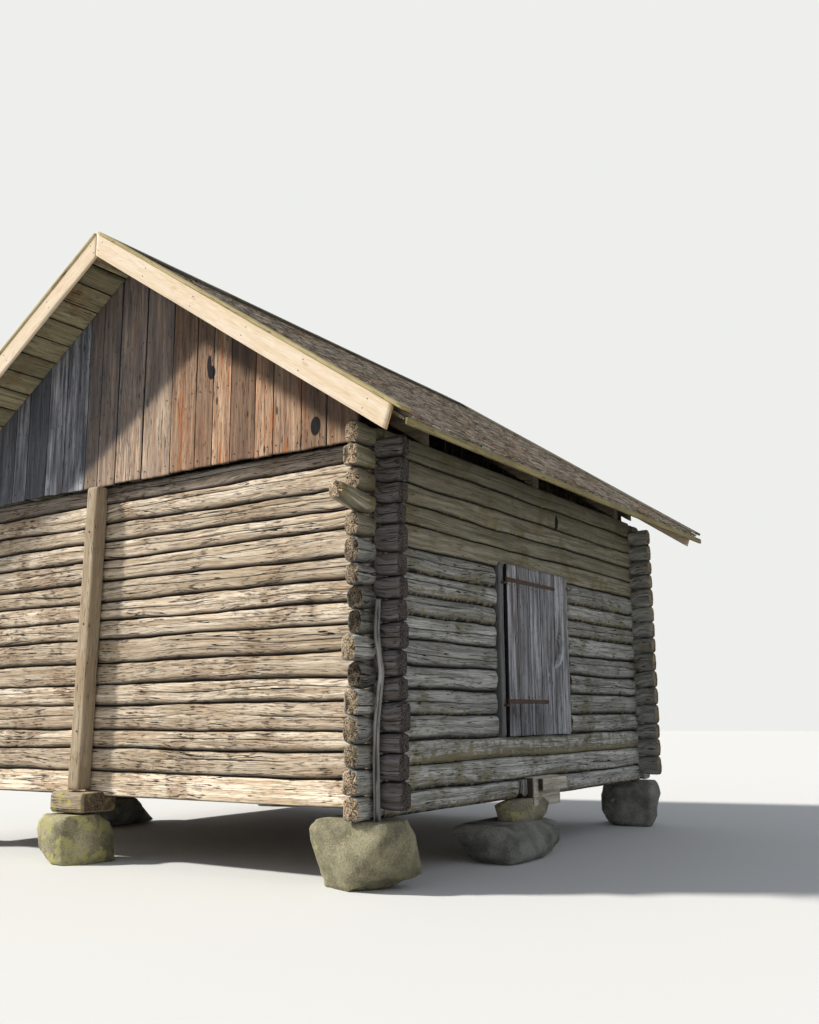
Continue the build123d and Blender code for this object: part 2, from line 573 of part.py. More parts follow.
def bargeboard(side, y0, y1):
    """A face board along the gable's edge, mitred at the ridge and cut at the eave."""
    high, low = roof_z(0, SEAT), roof_z(0, SEAT + BARGE_WIDTH)
    run = WIDTH / 2 + BARGE_REACH
    end_high = (run, high - ROOF_RISE * run)
    drop = BARGE_WIDTH / math.cos(SLOPE) / (1 + ROOF_RISE * math.tan(math.radians(BARGE_END_ANGLE)))
    end_run = run - drop * math.tan(math.radians(BARGE_END_ANGLE))
    points = [(FIT, high - ROOF_RISE * FIT), end_high, (end_run, low - ROOF_RISE * end_run),
              (FIT, low - ROOF_RISE * FIT)]
    return upright_prism([(side * x, z) for x, z in points], y0, y1)


def gables():
    """The boarded gable fields, the bargeboards and their caps, at both ends."""
    for name, end in (("front", -1), ("back", 1)):
        face = end * (LENGTH / 2 + SEAT)
        y0, y1 = sorted((face, face + end * GABLE_BOARD_THICKNESS))
        save(name + "_gable_boards", *gable_boards(y0, y1))
        inner = end * (ROOF_HALF_LENGTH + SEAT)
        y0, y1 = sorted((inner, inner + end * BARGE_THICKNESS))
        save(name + "_bargeboards", *[bargeboard(side, y0, y1) for side in (1, -1)])
        outer = end * (ROOF_HALF_LENGTH + BARGE_THICKNESS + CAP_LIP)
        y0, y1 = sorted((outer, outer - end * CAP_WIDTH))
        lap = CAP_THICKNESS * math.tan(SLOPE)
        reach = (WIDTH / 2 + BARGE_REACH) / math.cos(SLOPE) + CAP_REACH
        save(name + "_barge_caps", *[squared_slab(side, lap + FIT, reach, -CAP_THICKNESS - SEAT, -SEAT,
                                                  y0, y1) for side in (1, -1)])


def gable_boards(y0, y1):
    """Upright boards over the top gable log, cut to the slope and round the ridge log."""
    half = WIDTH / 2 - LOG_THICKNESS - FIT
    under = SHAKE_LAYER + DECK_THICKNESS + 2 * SEAT
    field = upright_prism([(-FAR, roof_z(FAR, under)), (0, roof_z(0, under)),
                           (FAR, roof_z(FAR, under))], y0, y1)
    field -= Pos(0, (y0 + y1) / 2, RIDGE_LOG_Z) * Rot(90, 0, 0) * Cylinder(RIDGE_LOG_RADIUS + SEAT, FAR)
    boards, x, index = [], half, 0
    while x > -half + BOARD_GAP:
        width = GABLE_BOARDS[index % len(GABLE_BOARDS)]
        left = max(x - width, -half)
        bottom = GABLE_BOARD_BOTTOM + BOARD_BOTTOM_STAGGER * math.sin(STAGGER_TURN * index)
        boards.append(largest(box(left + BOARD_GAP, x, y0, y1, bottom, RIDGE_TOP) & field))
        x, index = left, index + 1
    return boards


def stone(width, depth, x, y, z0, z1, seed):
    """A field stone: an uneven ring of facets, narrower at its foot and at its top."""
    angles = [2 * math.pi * (i + STONE_TURN * math.sin(3.1 * i + seed)) / STONE_FACETS
              for i in range(STONE_FACETS)]
    radii = [1 + STONE_BULGE * math.sin(2.3 * i + 1.7 * seed) for i in range(STONE_FACETS)]
    ring = [(radius * math.cos(a), radius * math.sin(a)) for radius, a in zip(radii, angles)]
    faces = []
    for height, share in STONE_LEVELS:
        points = [(x + share * width / 2 * px, y + share * depth / 2 * py, z0 + height * (z1 - z0))
                  for px, py in ring]
        faces.append(make_face(Polyline(*points, close=True)))
    return loft(faces, ruled=True)


def foundation():
    """Field stones under the corners, under the middle of the sills and under the prop."""
    sill = SIDE_LEVELS[0] - SEAT
    corner_x, corner_y = WIDTH / 2, LENGTH / 2
    shift_x, shift_y = CORNER_STONE_SHIFT
    save("corner_stones_front",
         stone(*CORNER_STONE, corner_x + shift_x, -corner_y + shift_y, 0, sill, 1),
         stone(*CORNER_STONE, -corner_x - shift_x, -corner_y + shift_y, 0, sill, 4))
    save("corner_stones_back",
         stone(*BACK_STONE, corner_x + shift_x, corner_y - shift_y, 0, sill, 2),
         stone(*BACK_STONE, -corner_x - shift_x, corner_y - shift_y, 0, sill, 3))
    mid_y = MID_STONE_FROM_CORNER - LENGTH / 2
    inset = LOG_THICKNESS / 2
    bearer_y = BEARER_FROM_CORNER - LENGTH / 2
    save("mid_stones", *[stone(*MID_STONE, side * (corner_x - inset), mid_y, 0, MID_STONE_TOP, 5 + side)
                         for side in (-1, 1)])
    beam_y = SILL_JOINT + CLEAT_WIDTH + 2 * FIT - LENGTH / 2
    beam_bottom = SIDE_LEVELS[1] - SEAT - BEAM_HEIGHT
    bearer = stone(*BEARER_STONE, corner_x - inset, bearer_y, MID_STONE_TOP + SEAT, sill, 7)
    bearer -= box(corner_x - FAR, corner_x + FAR, SILL_JOINT - LENGTH / 2 + FIT / 2,
                  beam_y + FAR, beam_bottom - SEAT, sill + FIT)
    save("bearer_stones", largest(bearer),
         stone(*BEARER_STONE, -corner_x + inset, bearer_y, MID_STONE_TOP + SEAT, sill, 8))
    prop_y = -corner_y - PROP_STAND_OFF - PROP_DEPTH / 2
    save("prop_stone", stone(*PROP_STONE, PROP_CENTRE, prop_y, 0, BLOCK_TOP - BLOCK_HEIGHT - SEAT, 9))


def prop():
    """The squared prop against the gable, and the block that it stands on."""
    y1 = -LENGTH / 2 - PROP_STAND_OFF
    y0 = y1 - PROP_DEPTH
    half = PROP_WIDTH / 2
    z0, z1 = BLOCK_TOP + SEAT, GABLE_BOARD_BOTTOM - PROP_UNDER_BOARDS
    foot, head = PROP_CENTRE, PROP_CENTRE + PROP_LEAN
    top = half - PROP_TAPER
    save("gable_prop", upright_prism([(foot - half, z0), (foot + half, z0),
                                      (head + top, z1), (head - top, z1)], y0, y1))
    middle = (y0 + y1) / 2
    block = box(foot - BLOCK_WIDTH / 2, foot + BLOCK_WIDTH / 2, middle - BLOCK_DEPTH / 2,
                -LENGTH / 2 + BLOCK_DEPTH / 2, BLOCK_TOP - BLOCK_HEIGHT, BLOCK_TOP)
    under_sill = box(foot - BLOCK_WIDTH, foot + BLOCK_WIDTH, -LENGTH / 2 - SEAT, FAR,
                     SILL_UNDERSIDE - SEAT, BLOCK_TOP + FIT)
    save("prop_block", block - under_sill)


def corner_pole():
    """The crooked pole that stands on the corner stone in the nook of the log ends."""
    foot = SIDE_LEVELS[0] + SEAT
    points = [(WIDTH / 2 + dx, -LENGTH / 2 + dy, foot + dz) for dz, dx, dy in POLE_PATH]
    path = Polyline(*points)
    section = Plane(origin=points[0], z_dir=path % 0) * Circle(POLE_RADIUS)
    save("corner_pole", sweep(section, path, transition=Transition.ROUND))


os.makedirs("parts", exist_ok=True)
log_walls()
floor()
door()
under_door()
roof()
gables()
foundation()
prop()
corner_pole()
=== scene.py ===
from math import atan, cos, pi, radians, sin, tan

import bmesh
import bpy
import numpy as np
from mathutils import Matrix, Vector


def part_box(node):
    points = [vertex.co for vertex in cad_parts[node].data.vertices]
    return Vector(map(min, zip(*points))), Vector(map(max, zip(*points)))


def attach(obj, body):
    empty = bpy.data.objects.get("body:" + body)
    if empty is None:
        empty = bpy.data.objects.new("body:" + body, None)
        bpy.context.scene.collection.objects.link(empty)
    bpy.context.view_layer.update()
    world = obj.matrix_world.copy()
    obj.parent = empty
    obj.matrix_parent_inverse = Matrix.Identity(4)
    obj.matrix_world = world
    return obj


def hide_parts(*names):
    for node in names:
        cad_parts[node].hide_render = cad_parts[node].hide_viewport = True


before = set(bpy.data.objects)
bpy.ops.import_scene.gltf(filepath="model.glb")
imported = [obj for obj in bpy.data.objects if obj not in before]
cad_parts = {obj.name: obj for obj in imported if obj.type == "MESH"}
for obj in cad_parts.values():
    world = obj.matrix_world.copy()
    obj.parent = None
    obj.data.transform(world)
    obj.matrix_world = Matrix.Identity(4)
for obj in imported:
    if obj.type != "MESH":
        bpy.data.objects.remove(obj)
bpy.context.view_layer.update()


# View of the storehouse.
# A tall hand-held picture from the corner between the gable with the prop and the wall with
# the door, taken from 1.2 m above the ground and tilted up a little.
camera_data = bpy.data.cameras.new("view")
camera_data.sensor_width = 36.0
camera_data.lens = 36.46
camera_data.clip_end = 200.0
camera = bpy.data.objects.new("view", camera_data)
bpy.context.scene.collection.objects.link(camera)
bpy.context.scene.camera = camera
yaw, pitch, roll = radians(-33.44), radians(11.05), radians(-0.38)
ahead = Vector((sin(yaw) * cos(pitch), cos(yaw) * cos(pitch), sin(pitch)))
level_right = Vector((cos(yaw), -sin(yaw), 0.0))
level_up = level_right.cross(ahead)
right = cos(roll) * level_right + sin(roll) * level_up
up = cos(roll) * level_up - sin(roll) * level_right
turn = Matrix((right, up, -ahead)).transposed().to_4x4()
camera.matrix_world = Matrix.Translation((6.865, -8.545, 1.170)) @ turn


# Floor, pale surroundings and light.
# A plain pale floor that keeps the storehouse's shadow, one soft warm lamp high on the gable's
# side, which casts the shadow of the roof on the boards, and an even cool light from all round.
def colour(code):
    """Linear colour of an sRGB hex code."""
    shares = [int(code[i:i + 2], 16) / 255 for i in (0, 2, 4)]
    return [c / 12.92 if c <= 0.04045 else ((c + 0.055) / 1.055) ** 2.4 for c in shares] + [1.0]


def add_node(tree, kind, inputs=None, **settings):
    """Add a node with its settings, and fill its inputs with values, sockets or the results of nodes."""
    item = tree.nodes.new(kind)
    for key, value in settings.items():
        setattr(item, key, value)
    for key, value in (inputs or {}).items():
        if isinstance(value, bpy.types.Node):
            value = next(output for output in value.outputs if output.enabled)
        if isinstance(value, bpy.types.NodeSocket):
            tree.links.new(value, item.inputs[key])
        else:
            item.inputs[key].default_value = value
    return item


def new_material(name):
    """An empty node material and its tree."""
    material = bpy.data.materials.new(name)
    material.use_nodes = True
    material.node_tree.nodes.clear()
    return material, material.node_tree


scene = bpy.context.scene
scene.view_settings.view_transform = "Standard"
world = bpy.data.worlds.new("pale_surroundings")
world.use_nodes = True
scene.world = world
air = world.node_tree
air.nodes.clear()
ray = add_node(air, "ShaderNodeLightPath").outputs
seen = ray["Is Camera Ray"]
for other in ("Is Glossy Ray", "Is Transmission Ray"):
    seen = add_node(air, "ShaderNodeMath", {0: seen, 1: ray[other]}, operation="MAXIMUM")
fill = add_node(air, "ShaderNodeBackground", {"Color": colour("e4ebf8"), "Strength": 0.50})
backdrop = add_node(air, "ShaderNodeBackground", {"Color": colour("eeefed"), "Strength": 1.0})
choice = add_node(air, "ShaderNodeMixShader", {0: seen, 1: fill, 2: backdrop})
add_node(air, "ShaderNodeOutputWorld", {"Surface": choice})

lamp_data = bpy.data.lights.new("broad_lamp", "SUN")
lamp_data.energy = 5.2
lamp_data.angle = radians(5)
lamp_data.color = (1.0, 0.965, 0.91)
towards_lamp = Vector((-0.644, -0.387, 0.659))
lamp = bpy.data.objects.new("broad_lamp", lamp_data)
lamp.rotation_euler = towards_lamp.to_track_quat("Z", "Y").to_euler()
scene.collection.objects.link(lamp)

floor_mesh = bpy.data.meshes.new("studio_floor")
floor_corners = [(x, y, -0.001) for x, y in ((-60, -60), (60, -60), (60, 60), (-60, 60))]
floor_mesh.from_pydata(floor_corners, [], [(0, 1, 2, 3)])
studio_floor = bpy.data.objects.new("studio_floor", floor_mesh)
scene.collection.objects.link(studio_floor)
floor_paint, tree = new_material("matt_pale_floor")
paint = add_node(tree, "ShaderNodeBsdfPrincipled", {"Base Color": colour("cdcdca"), "Roughness": 0.9})
add_node(tree, "ShaderNodeOutputMaterial", {"Surface": paint})
floor_mesh.materials.append(floor_paint)


# Field stones.
# Blocks of granite and gneiss picked up from the fields, broken along flat faces and laid dry
# under the corners, the sills and the prop. Pale green and ochre lichen has grown over them.
def lumps(points, seed):
    """Smooth random field of about -1 to 1 over points given in units of one lump."""
    cell = np.floor(points).astype(np.int64)
    part = points - cell
    part = part * part * (3 - 2 * part)
    total = np.zeros(points.shape[:-1])
    for corner in np.ndindex(2, 2, 2):
        c = cell + np.array(corner)
        key = c[..., 0] * 374761393 + c[..., 1] * 668265263 + c[..., 2] * 1442695041 + seed * 974711
        key = key & 0xFFFFFFFF
        key = ((key ^ (key >> 13)) * 1274126177) & 0xFFFFFFFF
        key = key ^ (key >> 16)
        share = np.prod(np.where(corner, part, 1 - part), axis=-1)
        total += share * ((key & 0xFFFF) / 32767.5 - 1)
    return total


def finish_piece(piece, material, nodes=(), body="house", smooth=True):
    """Link a piece, give it its material and say what it rides on and stands for."""
    scene.collection.objects.link(piece)
    piece.data.materials.clear()
    piece.data.materials.append(material)
    if smooth:
        piece.data.shade_smooth()
    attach(piece, body)
    if nodes:
        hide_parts(*nodes)


def place_mesh(name, points, faces, material, nodes=(), slot=None, body="house", smooth=True):
    """Make a finished piece at the origin from points and faces."""
    mesh = bpy.data.meshes.new(name)
    mesh.from_pydata([tuple(p) for p in points], [], [tuple(f) for f in faces])
    finish_piece(bpy.data.objects.new(name, mesh), material, nodes, body, smooth)


def lichened_stone(name, plain, dark, lichen, share):
    """Weathered field stone: a body washed with two tones about 200 mm across, grit of 11 mm, drawn
    coarser than it is so that it shows, and patches of crusty lichen about 110 mm across."""
    material, tree = new_material(name)
    place = add_node(tree, "ShaderNodeTexCoord").outputs["Object"]
    broad, grit, crust = (
        add_node(tree, "ShaderNodeTexNoise",
                 {"Vector": place, "Scale": size, "Detail": detail, "Roughness": rough})
        for size, detail, rough in ((5.0, 5.0, 0.6), (90.0, 4.0, 0.7), (9.0, 7.0, 0.72)))
    wash = add_node(tree, "ShaderNodeMapRange", {0: broad, 1: 0.36, 2: 0.62})
    tone = add_node(tree, "ShaderNodeMix", {0: wash, 6: colour(dark), 7: colour(plain)}, data_type="RGBA")
    fleck = add_node(tree, "ShaderNodeMapRange", {0: grit, 1: 0.35, 2: 0.65, 3: 0.62, 4: 1.25})
    body = add_node(tree, "ShaderNodeMix", {0: 1.0, 6: tone, 7: fleck}, data_type="RGBA",
                    blend_type="MULTIPLY")
    patch = add_node(tree, "ShaderNodeMapRange", {0: crust, 1: 1 - share, 2: 1.06 - share, 4: 0.85})
    dressed = add_node(tree, "ShaderNodeMix", {0: patch, 6: body, 7: colour(lichen)}, data_type="RGBA")
    relief = add_node(tree, "ShaderNodeMath", {0: crust, 1: grit}, operation="ADD")
    bump = add_node(tree, "ShaderNodeBump", {"Strength": 0.9, "Distance": 0.012, "Height": relief})
    skin = add_node(tree, "ShaderNodeBsdfPrincipled",
                    {"Base Color": dressed, "Roughness": 0.92, "Normal": bump})
    add_node(tree, "ShaderNodeOutputMaterial", {"Surface": skin})
    return material


def field_stone(centre, size, seed):
    """Points and faces of one stone that fills a box: a rough block with broken flat faces, a little
    smaller at its top."""
    rows, columns = 30, 52
    v = np.linspace(-pi / 2, pi / 2, rows)[1:-1, None]
    u = np.linspace(0, 2 * pi, columns, endpoint=False)[None, :]
    ball = np.stack([np.cos(v) * np.cos(u), np.cos(v) * np.sin(u), np.sin(v) * np.ones_like(u)], -1)
    ball = np.concatenate([ball.reshape(-1, 3), [[0, 0, -1.0], [0, 0, 1.0]]])
    points = np.sign(ball) * np.abs(ball) ** 0.38
    points /= np.abs(points).max(0)
    chance = np.random.default_rng(seed)
    for _ in range(11):
        facing = chance.normal(size=3) * (1, 1, 0.55)
        facing /= np.linalg.norm(facing)
        reach = 0.86 + 0.22 * chance.random()
        beyond = np.maximum(points @ facing - reach, 0)
        points = points - beyond[:, None] * facing
    swell = 1 + 0.05 * lumps(ball * 2.2 + 3.3, seed + 1) + 0.022 * lumps(ball * 6.0, seed + 2)
    points = points * swell[:, None]
    points[:, :2] *= 1 - 0.12 * (points[:, 2:] + 1) / 2
    points[:, :2] /= np.abs(points[:, :2]).max(0)
    points[:, 2] = np.clip(points[:, 2] * 1.12, -1, 1)
    points = np.array(centre) + points * np.array(size) / 2
    faces = []
    for i in range(rows - 3):
        for j in range(columns):
            k = (j + 1) % columns
            faces.append((i * columns + j, i * columns + k, (i + 1) * columns + k, (i + 1) * columns + j))
    last = (rows - 2) * columns
    for j in range(columns):
        k = (j + 1) % columns
        faces.append((last, k, j))
        faces.append((last + 1, last - columns + j, last - columns + k))
    return points, faces


def join(parts):
    """Put several lots of points and faces together."""
    points, faces, count = [], [], 0
    for some_points, some_faces in parts:
        points.append(some_points)
        faces += [tuple(i + count for i in face) for face in some_faces]
        count += len(some_points)
    return np.concatenate(points), faces


def stones_of(node):
    """The boxes of the separate stones in one CAD node: one, or one at each end of a gable."""
    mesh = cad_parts[node].data
    spots = np.array([v.co for v in mesh.vertices]).reshape(-1, 3)
    groups = [spots[spots[:, 0] < 0], spots[spots[:, 0] > 0]] if np.ptp(spots[:, 0]) > 3.0 else [spots]
    return [(g.min(0), g.max(0)) for g in groups]


boulder = lichened_stone("granite_boulder_ochre_lichen", "a39c7e", "716c56", "aaa573", 0.42)
grey_stone = lichened_stone("grey_gneiss_stone", "96958a", "62625b", "b3b08c", 0.36)
pale_stone = lichened_stone("pale_granite_stone", "a29b84", "706b58", "b5ad6c", 0.46)
prop_stone = lichened_stone("yellow_lichened_granite", "b3ab8c", "7f795c", "b9b272", 0.50)
for seed, (node, material) in enumerate([("corner_stones_front", boulder), ("corner_stones_back", grey_stone),
                                         ("mid_stones", grey_stone), ("bearer_stones", pale_stone),
                                         ("prop_stone", prop_stone)]):
    parts = [field_stone((low + high) / 2, high - low, 11 * seed + 5 * number + 3)
             for number, (low, high) in enumerate(stones_of(node))]
    place_mesh("stones_" + node, *join(parts), material, [node], "field_stone")


# Log walls.
# Pine logs hewn flat on two cheeks and laid in courses that seat on each other, notched and
# necked where they cross. A century and more of sun and rain has bleached and furrowed the
# gable, while the eaves keep the long side darker. The ends are cracked, and some are rotted.
HALF_WIDTH, HALF_LENGTH = 2.585, 2.515
HALF_LOG, HALF_CONTACT, CROWN = 0.065, 0.024, 0.011
HALF_NECK, NOTCH = 0.051, 0.052
GABLE_COURSES = (195, 185, 153, 209, 173, 185, 200, 160, 163, 172, 200, 158, 154, 183, 165)
GABLE_LEVELS = [0.520 + sum(GABLE_COURSES[:i]) / 1000 for i in range(16)]
SIDE_LEVELS = [0.457] + [(a + b) / 2 for a, b in zip(GABLE_LEVELS, GABLE_LEVELS[1:])]
SIDE_LEVELS.append(SIDE_LEVELS[-1] + 0.180)
CROSS_X, CROSS_Y = HALF_WIDTH - HALF_LOG, HALF_LENGTH - HALF_LOG
DARKEST = [0.01, 0.01, 0.012, 1.0]


def weathered_wood(name, pale, mid, deep, end="7d6a50", lichen="9a9a5a", along=None, flecks=0.5, relief=1.0,
                   stain=None, dark="33343a", streaky=False, knots=0.0, painted_holes=(), painted_shade_tone=None):
    """Bare pine left to the weather: silvered streaks along the grain, long drying checks,
    torn flecks and crusts of lichen, on a dry matt surface. A CAD node has no grain map and no
    marks, so it says along which axis its grain runs instead."""
    material, tree = new_material(name)
    pale, mid, deep, end, lichen, dark = (colour(code) for code in (pale, mid, deep, end, lichen, dark))
    place = add_node(tree, "ShaderNodeTexCoord").outputs["Object"]
    if along is None:
        marks = add_node(tree, "ShaderNodeAttribute", attribute_name="marks").outputs
        tint, cut, shade = add_node(tree, "ShaderNodeSeparateColor", {0: marks["Color"]}).outputs
        own = add_node(tree, "ShaderNodeVectorMath", {0: marks["Color"], 1: (31.7, 0.0, 0.0)},
                       operation="MULTIPLY")
        flat = add_node(tree, "ShaderNodeUVMap", uv_map="grain")
        flat = add_node(tree, "ShaderNodeVectorMath", {0: flat, 1: own}, operation="ADD")
    else:
        turned = {"X": (0, 0, 0), "Y": (0, 0, -pi / 2), "Z": (0, pi / 2, 0)}[along]
        flat = add_node(tree, "ShaderNodeMapping", {"Vector": place, "Rotation": turned})

    def pattern(source, scale, detail, rough):
        """Noise with its own scale, in lumps a metre, along the grain and across it."""
        stretched = add_node(tree, "ShaderNodeMapping", {"Vector": source, "Scale": scale})
        return add_node(tree, "ShaderNodeTexNoise",
                        {"Vector": stretched, "Scale": 1.0, "Detail": detail, "Roughness": rough})

    def laid(base, top, source, low, high, least=0.0, most=1.0):
        """One colour over another, from least to most of it as a pattern rises from low to high."""
        share = add_node(tree, "ShaderNodeMapRange", {0: source, 1: low, 2: high, 3: least, 4: most})
        return add_node(tree, "ShaderNodeMix", {0: share, 6: base, 7: top}, data_type="RGBA")

    # Streaks are 45 mm wide, torn flecks 14 mm, checks 33 mm apart and clouds of tone 430 mm. Grain
    # lines are drawn 5 mm apart, two or three times as coarse as in the wood, so that they show.
    streak = pattern(flat, (1.3, 22.0, 22.0), 4.0, 0.62)
    grain = pattern(flat, (7.0, 190.0, 190.0), 3.0, 0.6)
    tear = pattern(flat, (9.0, 70.0, 70.0), 4.0, 0.65)
    check = pattern(flat, (0.7, 30.0, 30.0), 2.0, 0.5)
    cloud = pattern(place, (2.3, 2.3, 2.3), 4.0, 0.6)
    patch = pattern(flat, (0.9, 16.0, 16.0), 4.0, 0.6) if streaky else cloud
    wood = laid(mid, pale, streak, 0.38, 0.60)
    wood = laid(wood, colour(stain) if stain else mid, patch, 0.53, 0.64, most=0.85)
    wood = laid(wood, deep, grain, 0.42, 0.70, most=0.50)
    least = 0.60 - 0.05 * flecks
    torn = add_node(tree, "ShaderNodeMapRange", {0: tear, 1: least, 2: 0.06 + least, 4: 0.9})
    bare = add_node(tree, "ShaderNodeMapRange", {0: cloud, 1: 0.38, 2: 0.58})
    torn = add_node(tree, "ShaderNodeMath", {0: torn, 1: bare}, operation="MULTIPLY")
    split = add_node(tree, "ShaderNodeMath", {0: check, 1: 0.5, 2: 0.0035 + 0.006 * flecks},
                     operation="COMPARE")
    dry = add_node(tree, "ShaderNodeMapRange", {0: streak, 1: 0.36, 2: 0.50})
    split = add_node(tree, "ShaderNodeMath", {0: split, 1: dry}, operation="MULTIPLY")
    if knots:
        spots = add_node(tree, "ShaderNodeMapping", {"Vector": flat, "Scale": (3.1, 8.0, 8.0)})
        knot = add_node(tree, "ShaderNodeTexVoronoi", {"Vector": spots, "Scale": 1.0})
        wood = laid(wood, deep, knot, 0.09, 0.13, knots, 0.0)
    if along is None:
        wood = laid(wood, mid, tint, 0.0, 1.0, most=0.55)
        strong = add_node(tree, "ShaderNodeMapRange", {0: tint, 1: -1.0, 2: 1.0, 3: 1.40, 4: 0.80})
        wood = add_node(tree, "ShaderNodeMix", {0: 1.0, 6: wood, 7: strong}, data_type="RGBA",
                        blend_type="MULTIPLY")
        # Past a tint of 1 the wood darkens towards black: painted shade on the gable logs' ends beyond the
        # door wall, on the top gable log and in part on the post by the hinges, and rot, dark sawn ends and
        # darker boards elsewhere.
        blackened = add_node(tree, "ShaderNodeMix", {0: 0.65, 6: dark, 7: DARKEST}, data_type="RGBA")
        wood = laid(wood, laid(blackened, dark, streak, 0.42, 0.60), tint, 1.0, 2.0)
    # Torn flecks take the deep colour, and the drying checks are drawn as near-black lines with a small bump:
    # painted shade inside the cracks.
    for share, top in ((torn, deep), (split, [0.012, 0.009, 0.007, 1.0])):
        wood = add_node(tree, "ShaderNodeMix", {0: share, 6: wood, 7: top}, data_type="RGBA")
    if along is None:
        # Cut ends crumble in bits of 10 mm, and lichen grows in spots of 70 mm.
        crumb = pattern(place, (105.0, 105.0, 105.0), 4.0, 0.7)
        face = laid(deep, end, crumb, 0.43, 0.52)
        strong = add_node(tree, "ShaderNodeMapRange", {0: tint, 1: 0.0, 2: 1.0, 3: 1.25, 4: 0.65})
        face = add_node(tree, "ShaderNodeMix", {0: 1.0, 6: face, 7: strong}, data_type="RGBA",
                        blend_type="MULTIPLY")
        face = laid(face, laid(DARKEST, dark, crumb, 0.4, 0.6), tint, 1.0, 2.0, most=0.8)
        # Blue marks darken the wood towards this tone: painted shade in seams, checks, cracks, board joints
        # and under the roof's overhang, and on the door a real stain of rust washed down from the straps.
        painted_shade_and_run_off_tone = colour(painted_shade_tone) if painted_shade_tone else add_node(
            tree, "ShaderNodeMix", {0: 0.6, 6: deep, 7: [0.008, 0.006, 0.005, 1.0]}, data_type="RGBA")
        for share, top in ((cut, face), (shade, painted_shade_and_run_off_tone)):
            wood = add_node(tree, "ShaderNodeMix", {0: share, 6: wood, 7: top}, data_type="RGBA")
        crust = pattern(place, (14.0, 14.0, 14.0), 6.0, 0.72)
        spread = add_node(tree, "ShaderNodeMath", {0: crust, 1: marks["Alpha"]}, operation="ADD")
        wood = laid(wood, lichen, spread, 0.98, 1.10, most=0.85)
    # Holes are not cut: each is a near-black oval painted on the wood, painted shade standing in for the dark
    # inside of a hole.
    for spot, reach in painted_holes:
        away = place
        for operation, value in (("SUBTRACT", spot), ("DIVIDE", reach), ("LENGTH", (0.0, 0.0, 0.0))):
            away = add_node(tree, "ShaderNodeVectorMath", {0: away, 1: value}, operation=operation)
        wood = laid(wood, [0.006, 0.005, 0.005, 1.0], away, 0.9, 1.05, 1.0, 0.0)
    height = add_node(tree, "ShaderNodeMath", {0: grain, 1: torn}, operation="SUBTRACT")
    height = add_node(tree, "ShaderNodeMath", {0: height, 1: split}, operation="SUBTRACT")
    height = add_node(tree, "ShaderNodeMath", {0: streak, 1: 1.8, 2: height}, operation="MULTIPLY_ADD")
    if along is None:
        chipped = add_node(tree, "ShaderNodeMath", {0: cut, 1: crumb}, operation="MULTIPLY")
        height = add_node(tree, "ShaderNodeMath", {0: chipped, 1: 4.0, 2: height}, operation="MULTIPLY_ADD")
    bump = add_node(tree, "ShaderNodeBump", {"Strength": 0.8, "Distance": 0.007 * relief, "Height": height})
    skin = add_node(tree, "ShaderNodeBsdfPrincipled",
                    {"Base Color": wood, "Roughness": 0.88, "Specular IOR Level": 0.25, "Normal": bump})
    add_node(tree, "ShaderNodeOutputMaterial", {"Surface": skin})
    return material


def ripple(seed, x, y=0.0, z=0.0):
    """The smooth random field over coordinates given one by one."""
    return lumps(np.stack(np.broadcast_arrays(x, y, z), -1).astype(float), seed)


def swept(rings, along, marks, ends=(0.006, 0.006), seed=0, crack=0.0, coarse=0.0):
    """A closed solid from rings of points, with its ends closed by shrinking rings. Returns points, quads,
    the grain coordinates of each quad's corners and the marks of each point. The marks are tint in red, which
    past 1 darkens towards black, a cut end in green, darkening in blue, which is mostly painted shade and on
    the door also rust washed down, and lichen in alpha."""
    count, around = rings.shape[:2]
    girth = np.linalg.norm(np.diff(np.concatenate([rings, rings[:, :1]], 1), axis=1), axis=2)
    run = np.concatenate([np.zeros((count, 1)), np.cumsum(girth, 1)], 1) + 3.7 * seed
    length = np.repeat(np.asarray(along)[:, None], around + 1, 1) + 11.3 * seed
    points, tones = [rings.reshape(-1, 3)], [marks.reshape(-1, 4)]
    i, j = np.meshgrid(np.arange(count - 1), np.arange(around), indexing="ij")
    corners = ((i, j), (i, j + 1), (i + 1, j + 1), (i + 1, j))
    quads = [np.stack([a * around + b % around for a, b in corners], -1).reshape(-1, 4)]
    grain = [np.stack([np.stack([length[a, b], run[a, b]], -1) for a, b in corners], 2).reshape(-1, 4, 2)]
    total = count * around
    for which, row in ((0, 0), (1, count - 1)):
        ring = rings[row]
        middle = ring.mean(0)
        inner = rings[1 if which == 0 else count - 2].mean(0)
        out = (middle - inner) / np.linalg.norm(middle - inner)
        previous = np.arange(around) + row * around
        spoke = np.arange(around)
        split = crack * np.maximum(0, ripple(seed + which, spoke * 0.9 + seed, seed, seed))
        for share in (0.92, 0.70, 0.46, 0.22):
            flat = middle + share * (ring - middle)
            rough = coarse * lumps(flat * 38.0 + seed, seed + 31)
            bulge = ends[which] * (1 - share) ** 0.5
            flat = flat + out * (bulge + rough - split * min(1.0, 2.2 * share * (1.2 - share)))[:, None]
            points.append(flat)
            tone = marks[row].copy()
            tone[:, 1] = 1.0
            # Cracks in the end faces and the hollows of rotted ends are darkened: painted shade in them.
            tone[:, 2] = np.clip(tone[:, 2] * 0.3 + split * 22 - 16 * min(0, ends[which]) * (1 - share), 0, 1)
            tones.append(tone)
            here = np.arange(around) + total
            nxt = np.roll(here, -1)
            before = np.roll(previous, -1)
            if which == 0:
                quads.append(np.stack([previous, here, nxt, before], -1))
            else:
                quads.append(np.stack([previous, before, nxt, here], -1))
            grain.append(np.repeat(flat[:, None, [0 if abs(out[1]) > 0.5 else 1, 2]], 4, 1))
            previous = here
            total += around
        points.append((middle + out * ends[which])[None])
        tones.append(np.array([[marks[row, 0, 0], 1.0, 0.2, 0.0]]))
        before = np.roll(previous, -1)
        hub = np.full(around, total)
        rim = [previous, before] if which else [before, previous]
        quads.append(np.stack(rim + [hub, hub], -1))
        grain.append(np.zeros((around, 4, 2)) + seed)
        total += 1
    return np.concatenate(points), np.concatenate(quads), np.concatenate(grain), np.concatenate(tones)


